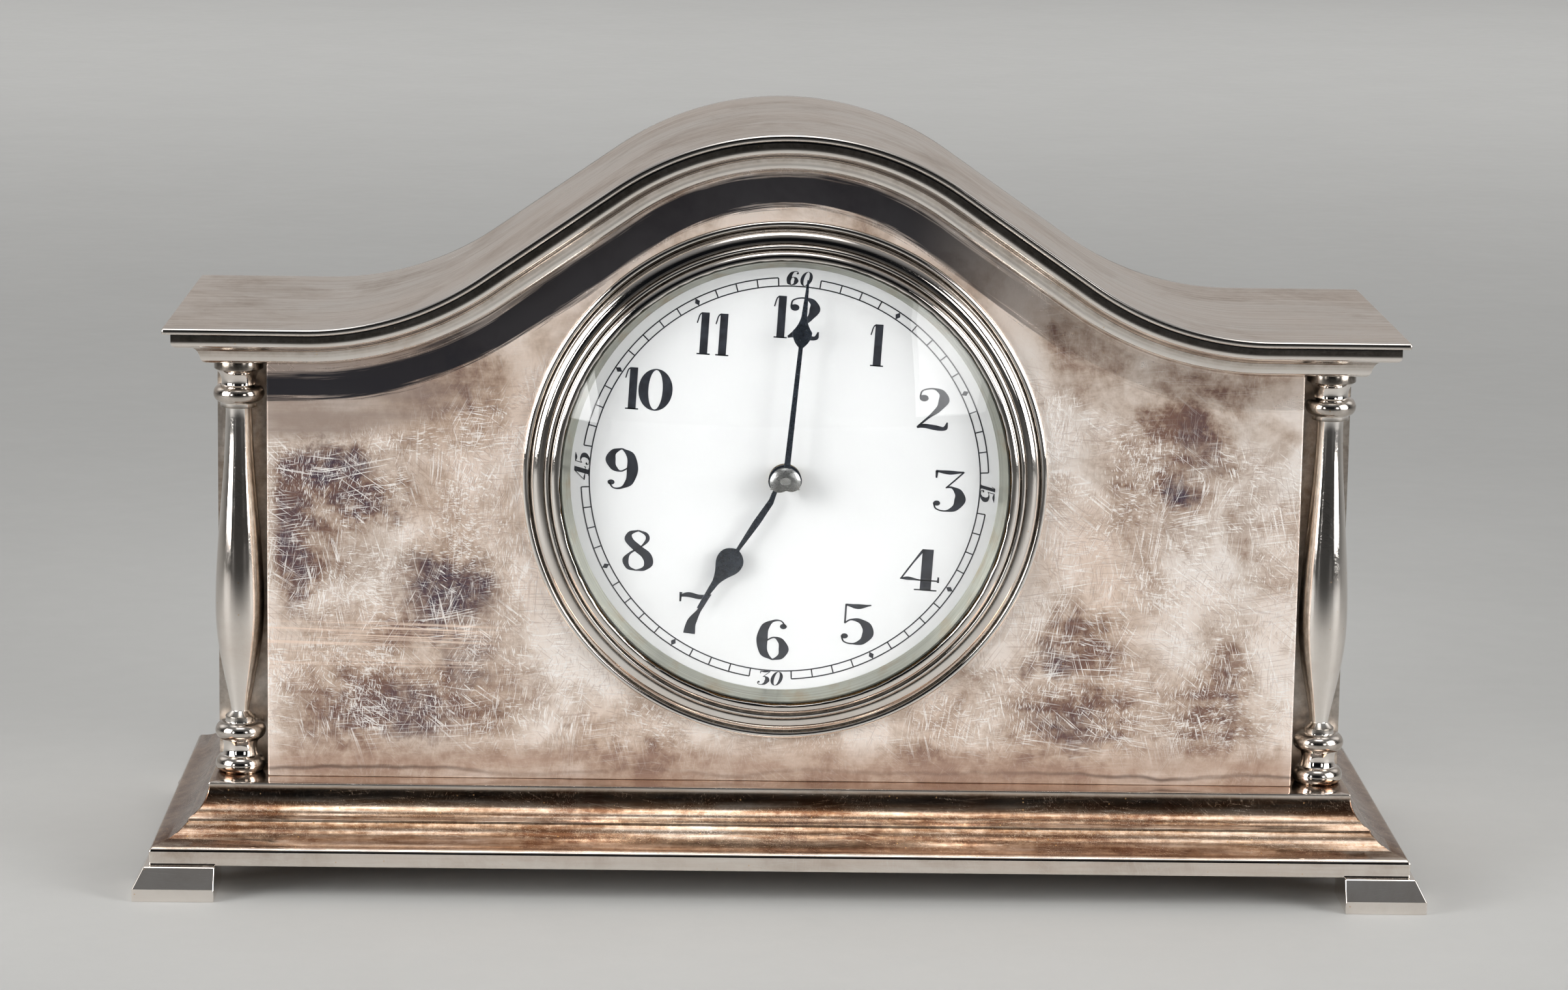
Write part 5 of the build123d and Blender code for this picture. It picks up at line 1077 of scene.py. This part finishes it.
# Numerals: each with its width and its strokes, through points with their widths, in a box one unit high.
# All but the narrow 1 are drawn broader than their boxes.
DISC = "disc"
RING = "ring"
BROAD = 1.34
GLYPHS = {
    "0": (0.62, [(RING, (0.31, 0.5), (0.30, 0.50), (0.125, 0.468))]),
    "1": (0.36, [([(0.195, 0.0), (0.195, 1.0)], [0.185, 0.185]),
                 ([(0.12, 0.985), (0.06, 0.93), (0.01, 0.74)], [0.04, 0.03, 0.028]),
                 ([(0.04, 0.016), (0.35, 0.016)], [0.032, 0.032])]),
    "2": (0.60, [([(0.065, 0.76), (0.10, 0.92), (0.28, 0.982), (0.44, 0.90), (0.485, 0.72), (0.40, 0.50), (0.22, 0.27),
                   (0.05, 0.05)], [0.03, 0.03, 0.035, 0.12, 0.19, 0.11, 0.045, 0.035]),
                 (DISC, (0.135, 0.745), 0.078),
                 ([(0.05, 0.03), (0.17, 0.085), (0.36, 0.06), (0.53, 0.05), (0.575, 0.20)],
                  [0.03, 0.10, 0.12, 0.09, 0.03])]),
    "3": (0.60, [([(0.075, 0.80), (0.075, 0.97)], [0.03, 0.05]),
                 ([(0.06, 0.965), (0.30, 0.945), (0.555, 0.972)], [0.05, 0.10, 0.035]),
                 ([(0.555, 0.975), (0.40, 0.76), (0.26, 0.575)], [0.032, 0.03, 0.03]),
                 ([(0.25, 0.575), (0.36, 0.59), (0.485, 0.48), (0.52, 0.30), (0.44, 0.10), (0.27, 0.018), (0.11, 0.06),
                   (0.06, 0.20)], [0.03, 0.05, 0.15, 0.20, 0.13, 0.035, 0.03, 0.03]),
                 (DISC, (0.115, 0.195), 0.062)]),
    "4": (0.68, [([(0.46, 0.0), (0.46, 1.0)], [0.195, 0.195]),
                 ([(0.38, 0.985), (0.20, 0.64), (0.015, 0.26)], [0.05, 0.032, 0.03]),
                 ([(0.0, 0.262), (0.14, 0.275), (0.34, 0.25)], [0.03, 0.085, 0.035]),
                 ([(0.30, 0.25), (0.67, 0.25)], [0.034, 0.034]),
                 ([(0.675, 0.21), (0.675, 0.345)], [0.04, 0.02]),
                 ([(0.26, 0.016), (0.66, 0.016)], [0.032, 0.032])]),
    "5": (0.60, [([(0.105, 0.955), (0.32, 0.925), (0.55, 0.975)], [0.05, 0.12, 0.03]),
                 ([(0.105, 0.97), (0.105, 0.50)], [0.032, 0.032]),
                 ([(0.105, 0.51), (0.20, 0.595), (0.36, 0.585), (0.495, 0.46), (0.525, 0.27), (0.43, 0.08),
                   (0.26, 0.018), (0.11, 0.06), (0.06, 0.20)],
                  [0.03, 0.035, 0.10, 0.18, 0.20, 0.13, 0.035, 0.03, 0.03]),
                 (DISC, (0.115, 0.195), 0.062)]),
    "6": (0.60, [([(0.50, 0.84), (0.42, 0.965), (0.28, 0.955), (0.145, 0.80), (0.105, 0.50), (0.15, 0.18),
                   (0.31, 0.018)], [0.03, 0.03, 0.05, 0.15, 0.20, 0.15, 0.035]),
                 ([(0.31, 0.018), (0.455, 0.11), (0.50, 0.29), (0.44, 0.48), (0.31, 0.56), (0.17, 0.46)],
                  [0.035, 0.12, 0.18, 0.12, 0.035, 0.03]),
                 (DISC, (0.465, 0.835), 0.062)]),
    "7": (0.60, [([(0.055, 0.76), (0.055, 0.985)], [0.025, 0.05]),
                 ([(0.05, 0.90), (0.20, 0.935), (0.40, 0.895), (0.575, 0.965)], [0.06, 0.12, 0.11, 0.04]),
                 ([(0.585, 0.975), (0.42, 0.62), (0.28, 0.28), (0.25, 0.0)], [0.03, 0.07, 0.17, 0.21])]),
    "8": (0.60, [([(0.29, 0.98), (0.145, 0.90), (0.135, 0.74), (0.29, 0.555), (0.45, 0.40), (0.505, 0.21), (0.43, 0.07),
                   (0.29, 0.02)], [0.035, 0.09, 0.15, 0.17, 0.18, 0.16, 0.09, 0.035]),
                 ([(0.29, 0.98), (0.43, 0.90), (0.455, 0.76), (0.34, 0.58), (0.17, 0.43), (0.095, 0.26), (0.15, 0.08),
                   (0.29, 0.02)], [0.035, 0.07, 0.07, 0.03, 0.045, 0.11, 0.08, 0.035])]),
}
DISC_STEPS = 20
RING_STEPS = 40
HAIRLINE = 0.03
# Gaps between two numerals, after a 1 and between two of them
GAP = 0.1
GAP_AFTER_ONE = -0.05
GAP_OF_ONES = 0.08
DIAL_TURN = math.radians(3.3)
MINUTE = math.pi / 30
QUARTER_NUMBERS = ((0, "60", 0.0), (15, "15", 90.0), (30, "30", 0.0), (45, "45", -90.0))
QUARTER_INSET = 0.05
QUARTER_LEAN = 0.22
QUARTER_WEIGHT = 1.25
TRACK_LINE = 0.2
DIAMOND_REACH = 1.25
DIAMOND_WIDTH = 0.85


class InkPad:
    """Collects flat shapes on the dial as thin closed prisms."""

    def __init__(self):
        self.points = []
        self.faces = []
        self.front = mm("dial_face") - mm("print_depth")
        self.back = mm("dial_face") + mm("print_depth") / 3

    def join(self, rings):
        """Add a closed shape through rings of points."""
        start = len(self.points)
        self.points += [point for ring in rings for point in ring]
        self.faces += [tuple(start + index for index in face) for face in join_rings(len(rings[0]), len(rings))]

    def prism(self, outline):
        """Add one prism over an outline of points in the dial's plane."""
        self.join([[(x, depth, z) for x, z in outline] for depth in (self.front, self.back)])

    def ribbon(self, left, right):
        """Add a closed strip between two lines of points."""
        self.join([[(a[0], self.front, a[1]), (b[0], self.front, b[1]), (b[0], self.back, b[1]),
                    (a[0], self.back, a[1])] for a, b in zip(left, right)])

    def finish(self, name, ink):
        """Make one piece of all that was drawn."""
        new_piece(name, self.points, self.faces, ink, slot="white_enamel", sharp=20.0)


def smooth_line(points, widths, steps=7):
    """A smooth curve through points, with its widths, as two edge lines."""
    if len(points) == 2:
        curve = [(Vector(points[0]), widths[0]), (Vector(points[1]), widths[1])]
    else:
        knots = [Vector(points[0]) * 2 - Vector(points[1])] + [Vector(point) for point in points]
        knots.append(Vector(points[-1]) * 2 - Vector(points[-2]))
        curve = []
        for index in range(1, len(knots) - 2):
            first, start, end, last = knots[index - 1:index + 3]
            for step in range(steps):
                t = step / steps
                place = 0.5 * (2 * start + (end - first) * t + (2 * first - 5 * start + 4 * end - last) * t ** 2
                               + (3 * start - first - 3 * end + last) * t ** 3)
                curve.append((place, widths[index - 1] * (1 - ease(t)) + widths[index] * ease(t)))
        curve.append((Vector(points[-1]), widths[-1]))
    left, right = [], []
    for index, (place, width) in enumerate(curve):
        along = curve[min(index + 1, len(curve) - 1)][0] - curve[max(index - 1, 0)][0]
        across = Vector((-along.y, along.x)).normalized() * width / 2
        left.append(tuple(place + across))
        right.append(tuple(place - across))
    return left, right


def oval(middle, reach, steps):
    """Points round an oval, the last over the first."""
    turns = [2 * math.pi * step / steps for step in range(steps + 1)]
    return [(middle[0] + reach[0] * math.cos(turn), middle[1] + reach[1] * math.sin(turn)) for turn in turns]


def draw_number(pad, text, height, place, lean=0.0, weight=1.0):
    """Draw a number's strokes; place turns a point of the number's own box into a point on the dial."""
    letters = []
    cursor = 0.0
    for index, letter in enumerate(text):
        width, shapes = GLYPHS["6" if letter == "9" else letter]
        stretch = 1.0 if letter == "1" else BROAD
        letters.append((letter == "9", shapes, cursor, stretch))
        after = text[index + 1:index + 2]
        gap = GAP if letter != "1" else (GAP_OF_ONES if after == "1" else GAP_AFTER_ONE)
        cursor += width * stretch + (gap if after else 0.0)
    for turned, shapes, start, stretch in letters:

        def put(points):
            """Points of the letter's box on the dial; a 9 is a 6 turned over."""
            if turned:
                points = [(GLYPHS["6"][0] - x, 1.0 - y) for x, y in points]
            return [place(((x * stretch + start - cursor / 2 + lean * (y - 0.5)) * height, (y - 0.5) * height))
                    for x, y in points]

        for shape in shapes:
            if shape[0] == DISC:
                pad.prism(put(oval(shape[1], (shape[2], shape[2]), DISC_STEPS)[:-1]))
            elif shape[0] == RING:
                pad.ribbon(*(put(oval(shape[1], reach, RING_STEPS)) for reach in shape[2:]))
            else:
                widths = [max(part, HAIRLINE) * weight for part in shape[1]]
                pad.ribbon(*(put(line) for line in smooth_line(shape[0], widths)))


def on_dial(reach, minutes, upright_turn=0.0):
    """A function that puts a number's own points on the dial, at a reach and a time in minutes."""
    turn = minutes * MINUTE + DIAL_TURN
    lean = math.radians(upright_turn) + DIAL_TURN
    middle = (reach * math.sin(turn), mm("dial_height") + reach * math.cos(turn))

    def place(point):
        x, y = point
        return (middle[0] + x * math.cos(lean) + y * math.sin(lean),
                middle[1] - x * math.sin(lean) + y * math.cos(lean))

    return place


def ring_band(pad, radius, first, last):
    """A thin line round the dial between two times in minutes."""
    steps = max(8, int((last - first) * 4))
    turns = [(first + (last - first) * step / steps) * MINUTE + DIAL_TURN for step in range(steps + 1)]
    pad.ribbon(*([(reach * math.sin(turn), mm("dial_height") + reach * math.cos(turn)) for turn in turns]
                 for reach in (radius + TRACK_LINE / 2, radius - TRACK_LINE / 2)))


def mark_tree(name, diamonds):
    """Geometry nodes that set marks round a circle: bars at the minutes, or diamonds at the fives."""
    tree, given, result = new_group(
        name, (("Count", 60), ("Radius", 0.0316), ("Reach", 0.0013), ("Width", 0.00012), ("Thickness", 0.00003),
               ("Finish", None)), (("Geometry", "Geometry"),), "GeometryNodeTree")
    circle = add(tree, "GeometryNodeMeshCircle", {"Vertices": given["Count"], "Radius": given["Radius"]})
    index = Flow(add(tree, "GeometryNodeInputIndex"))
    turn = index / given["Count"] * (2 * math.pi)
    on_five, on_quarter = ((index % each).math("COMPARE", 0.0) for each in (5.0, 15.0))
    if diamonds:
        chosen = on_five - on_quarter
        shape = add(tree, "GeometryNodeMeshCylinder", {"Vertices": 4, "Radius": 0.5, "Depth": 1.0})
    else:
        chosen = 1.0 - on_five
        shape = add(tree, "GeometryNodeMeshCube")
    size = add(tree, "ShaderNodeCombineXYZ", {0: given["Reach"], 1: given["Width"], 2: given["Thickness"]})
    angle = add(tree, "ShaderNodeCombineXYZ", {2: turn})
    marks = add(tree, "GeometryNodeInstanceOnPoints", {
        "Points": Flow(circle), "Selection": chosen, "Instance": Flow(shape), "Rotation": Flow(angle),
        "Scale": Flow(size)})
    real = add(tree, "GeometryNodeRealizeInstances", {0: Flow(marks)})
    finish = add(tree, "GeometryNodeSetMaterial", {"Geometry": Flow(real), "Material": given["Finish"]})
    set_inputs(result, {"Geometry": Flow(finish)})
    return tree


def set_marks(name, diamonds, values, material):
    """Run the mark nodes once, stand the result on the dial and make it a plain mesh piece."""
    tree = mark_tree(name + "_nodes", diamonds)
    source = put_in_scene(name + "_source", bpy.data.meshes.new(name + "_source"))
    modifier = source.modifiers.new("marks", "NODES")
    modifier.node_group = tree
    sockets = {item.name: item.identifier for item in tree.interface.items_tree if item.in_out == "INPUT"}
    for key, value in values.items():
        modifier[sockets[key]] = value
    modifier[sockets["Finish"]] = material
    view = bpy.context.evaluated_depsgraph_get()
    mesh = bpy.data.meshes.new_from_object(source.evaluated_get(view))
    bpy.data.objects.remove(source)
    stand = Matrix.Rotation(math.pi / 2, 4, "X")
    turned = Matrix.Rotation(DIAL_TURN, 4, "Y")
    place = Matrix.Translation((0.0, sizes().dial_face - sizes().print_depth / 3, sizes().dial_height))
    mesh.transform(place @ turned @ stand)
    mesh.name = name
    finish_piece(name, mesh, material, "white_enamel")


class CLOCK_OT_dial(bpy.types.Operator):
    """Finish the enamel and print the minute track and the numerals"""
    bl_idname = "clock.dial"
    bl_label = "Dial"

    def execute(self, context):
        dress(["dial"], enamel())
        ink = plain_finish("dial_print_black")
        inner, outer = sizes().track_inner, sizes().track_outer
        middle = {"Count": 60, "Radius": (inner + outer) / 2, "Thickness": sizes().print_depth * 4 / 3}
        set_marks("minute_marks", False, {**middle, "Reach": outer - inner, "Width": TRACK_LINE * MM}, ink)
        set_marks("five_minute_diamonds", True,
                  {**middle, "Reach": DIAMOND_REACH * MM, "Width": DIAMOND_WIDTH * MM}, ink)
        track = InkPad()
        ring_band(track, mm("track_inner"), 0.0, 60.0)
        for quarter in range(4):
            ring_band(track, mm("track_outer"), 15 * quarter + 1.0, 15 * quarter + 14.0)
        track.finish("minute_track", ink)
        hours = InkPad()
        for hour in range(1, 13):
            draw_number(hours, str(hour), mm("numeral_height"), on_dial(mm("numeral_circle"), hour * 5))
        hours.finish("hour_numerals", ink)
        quarters = InkPad()
        reach = mm("track_outer") - QUARTER_INSET
        for minutes, text, turn in QUARTER_NUMBERS:
            draw_number(quarters, text, mm("small_height"), on_dial(reach, minutes, turn), QUARTER_LEAN, QUARTER_WEIGHT)
        quarters.finish("quarter_numerals", ink)
        return {"FINISHED"}


class CLOCK_OT_hands(bpy.types.Operator):
    """Finish the hands and what holds them"""
    bl_idname = "clock.hands"
    bl_label = "Hands"

    def execute(self, context):
        dress(["minute_hand", "hour_hand"], plain_finish("heat_blued_steel"), 0.06)
        dress(["hand_collet"], plain_finish("grey_steel"))
        dress(["centre_arbor"], plain_finish("polished_steel"))
        return {"FINISHED"}


class CLOCK_OT_movement(bpy.types.Operator):
    """Finish the movement behind the dial"""
    bl_idname = "clock.movement"
    bl_label = "Movement"

    def execute(self, context):
        finishes = {"brass": "bright_brass", "steel": "polished_steel", "blued_steel": "heat_blued_steel"}
        done = {"hinge_pin", "minute_hand", "hour_hand", "hand_collet", "centre_arbor"}
        for entry in frame["record"]["subparts"]:
            slot = entry["material_slot"]
            if slot in finishes and entry["node"] not in done:
                dress([entry["node"]], plain_finish(finishes[slot]))
        return {"FINISHED"}


# The room: in front of the clock, behind it and above
ROOM_DARK = (0.008, 0.009, 0.011)
ROOM_PALE = (0.86, 0.83, 0.80)
ROOM_ABOVE = (0.50, 0.505, 0.51)
PICTURE_WIDTH = 2408
SENSOR = 36.0
FLOOR_HALF = 6.0
# Where the floor is painted darker in front of the clock as painted shade, from and to in millimetres, and the share of
# its tone that is left
FLOOR_SHADE_SPAN = (-130.0, -480.0)
FLOOR_SHADED_SHARE = 0.4
MIDDLE = (0.0, 0.0, 0.06)
# Lights: name, place, aim, width, height, power, and the angle in degrees that its grid lets light through
LIGHTS = (
    ("left softbox", (-0.46, -0.26, 0.20), MIDDLE, 0.28, 0.36, "key_power", 68.0),
    ("right softbox", (0.46, -0.26, 0.21), MIDDLE, 0.28, 0.38, "fill_power", 68.0),
    ("left window", (-0.64, -1.05, 0.26), MIDDLE, 0.10, 0.42, "window_power", 40.0),
    ("right window", (0.56, -1.10, 0.30), MIDDLE, 0.22, 0.42, "window_power", 40.0),
    ("front softbox", (0.0, -0.42, 0.86), (0.0, 0.0, 0.07), 0.62, 0.30, "front_power", 38.0),
    ("overhead softbox", (0.0, 0.26, 1.05), (0.0, 0.20, 0.0), 1.7, 0.8, "top_power", 58.0),
    ("high left softbox", (-0.62, 0.30, 0.55), MIDDLE, 0.7, 0.6, "side_power", 44.0),
    ("high right softbox", (0.62, 0.30, 0.55), MIDDLE, 0.7, 0.6, "side_power", 44.0),
    ("backdrop softbox", (0.0, 1.45, 1.5), (0.0, 1.45, 0.0), 2.6, 1.6, "back_power", 64.0),
)


class CLOCK_OT_studio(bpy.types.Operator):
    """Set the pale floor, the soft lights and the camera"""
    bl_idname = "clock.studio"
    bl_label = "Studio"

    def execute(self, context):
        context.scene.view_settings.view_transform = "Standard"
        self.floor()
        self.lights(context)
        self.room(context)
        self.camera(context)
        return {"FINISHED"}

    def floor(self):
        """A wide sheet of pale paper, with painted shade darkening it in front of the picture so that the silver
        mirrors a dark room.
        """
        mesh = bpy.data.meshes.new("paper_floor")
        corners = [(x * FLOOR_HALF, y * FLOOR_HALF, 0.0) for x, y in ((-1, -1), (1, -1), (1, 1), (-1, 1))]
        mesh.from_pydata(corners, [], [(0, 1, 2, 3)])
        paper = plain_finish("pale_paper")
        tree = paper.node_tree
        shader = next(node for node in tree.nodes if node.bl_idname == "ShaderNodeBsdfPrincipled")
        plain = Flow(shader.inputs["Base Color"].links[0].from_node, 2)
        # Painted shade: the paper's colour darkens towards the front
        dim = millimetres(tree).split()[1].spread(*FLOOR_SHADE_SPAN, smooth=True)
        set_inputs(shader, {"Base Color": tint(dim, plain, shade(colours().floor, FLOOR_SHADED_SHARE))})
        mesh.materials.append(paper)
        obj = put_in_scene("paper_floor", mesh)

    def lights(self, context):
        """Softboxes on both sides, in front, overhead and over the backdrop."""
        for name, place, target, width, height, power, reach in LIGHTS:
            data = bpy.data.lights.new(name, "AREA")
            data.shape = "RECTANGLE"
            data.size, data.size_y = width, height
            data.energy = getattr(context.scene.clock_studio, power)
            data.spread = math.radians(reach)
            obj = put_in_scene(name, data)
            obj.location = place
            obj.rotation_euler = (Vector(target) - Vector(place)).to_track_quat("-Z", "Y").to_euler()

    def room(self, context):
        """A room that is dark in front of the clock, and pale behind it and above."""
        world = bpy.data.worlds.new("dim room")
        context.scene.world = world
        world.use_nodes = True
        tree = world.node_tree
        _, behind, above = Flow(add(tree, "ShaderNodeTexCoord"), "Generated").split()
        tone = tint(behind.spread(-0.1, 0.7, smooth=True), ROOM_DARK, ROOM_PALE)
        tone = tint(above.spread(0.35, 0.85, smooth=True), tone, ROOM_ABOVE)
        set_inputs(tree.nodes["Background"], {"Color": tone, "Strength": context.scene.clock_studio.sky})

    def camera(self, context):
        """The camera, placed as the photograph's was."""
        studio = context.scene.clock_studio
        base = Matrix(((1, 0, 0), (0, 0, -1), (0, 1, 0)))
        turn = (Matrix.Rotation(studio.roll, 3, "Z") @ Matrix.Rotation(studio.tilt, 3, "X")
                @ Matrix.Rotation(studio.pan, 3, "Y") @ base)
        aimed = Vector((studio.aim_x, studio.aim_y, studio.distance))
        place = Vector((0, 0, studio.aim_height)) - turn.transposed() @ aimed
        facing = (Matrix(((1, 0, 0), (0, -1, 0), (0, 0, -1))) @ turn).transposed()
        data = bpy.data.cameras.new("camera")
        data.sensor_fit = "HORIZONTAL"
        data.sensor_width = SENSOR
        data.lens = studio.focal * SENSOR / PICTURE_WIDTH
        data.shift_x, data.shift_y = studio.shift_x, studio.shift_y
        data.clip_start, data.clip_end = 0.01, 50.0
        obj = put_in_scene("camera", data)
        obj.matrix_world = Matrix.Translation(place) @ facing.to_4x4()
        context.scene.camera = obj


OPERATORS = (CLOCK_OT_plinth, CLOCK_OT_roof, CLOCK_OT_columns, CLOCK_OT_case, CLOCK_OT_bezel, CLOCK_OT_dial,
             CLOCK_OT_hands, CLOCK_OT_movement, CLOCK_OT_studio)
GROUPS = (("clock_sizes", ClockSizes), ("clock_colours", ClockColours), ("clock_studio", StudioSettings))


class CLOCK_PT_panel(bpy.types.Panel):
    """The clock's pieces in the sidebar"""
    bl_idname = "CLOCK_PT_panel"
    bl_label = "Mantel clock"
    bl_space_type = "VIEW_3D"
    bl_region_type = "UI"
    bl_category = "Clock"

    def draw(self, context):
        column = self.layout.column()
        for operator in OPERATORS:
            column.operator(operator.bl_idname)
        for name, group in GROUPS:
            for setting in group.__annotations__:
                column.prop(getattr(context.scene, name), setting)


CLASSES = tuple(group for _, group in GROUPS) + OPERATORS + (CLOCK_PT_panel,)


def register():
    """Register the classes and hang the settings on the scene."""
    for cls in CLASSES:
        bpy.utils.register_class(cls)
    for name, group in GROUPS:
        setattr(bpy.types.Scene, name, bpy.props.PointerProperty(type=group))


def unregister():
    """Take the settings and the classes away again."""
    for name, _ in GROUPS:
        delattr(bpy.types.Scene, name)
    for cls in reversed(CLASSES):
        bpy.utils.unregister_class(cls)


def main():
    """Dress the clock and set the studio."""
    register()
    for operator in OPERATORS:
        group, name = operator.bl_idname.split(".")
        getattr(getattr(bpy.ops, group), name)()


if __name__ == "__main__":
    main()
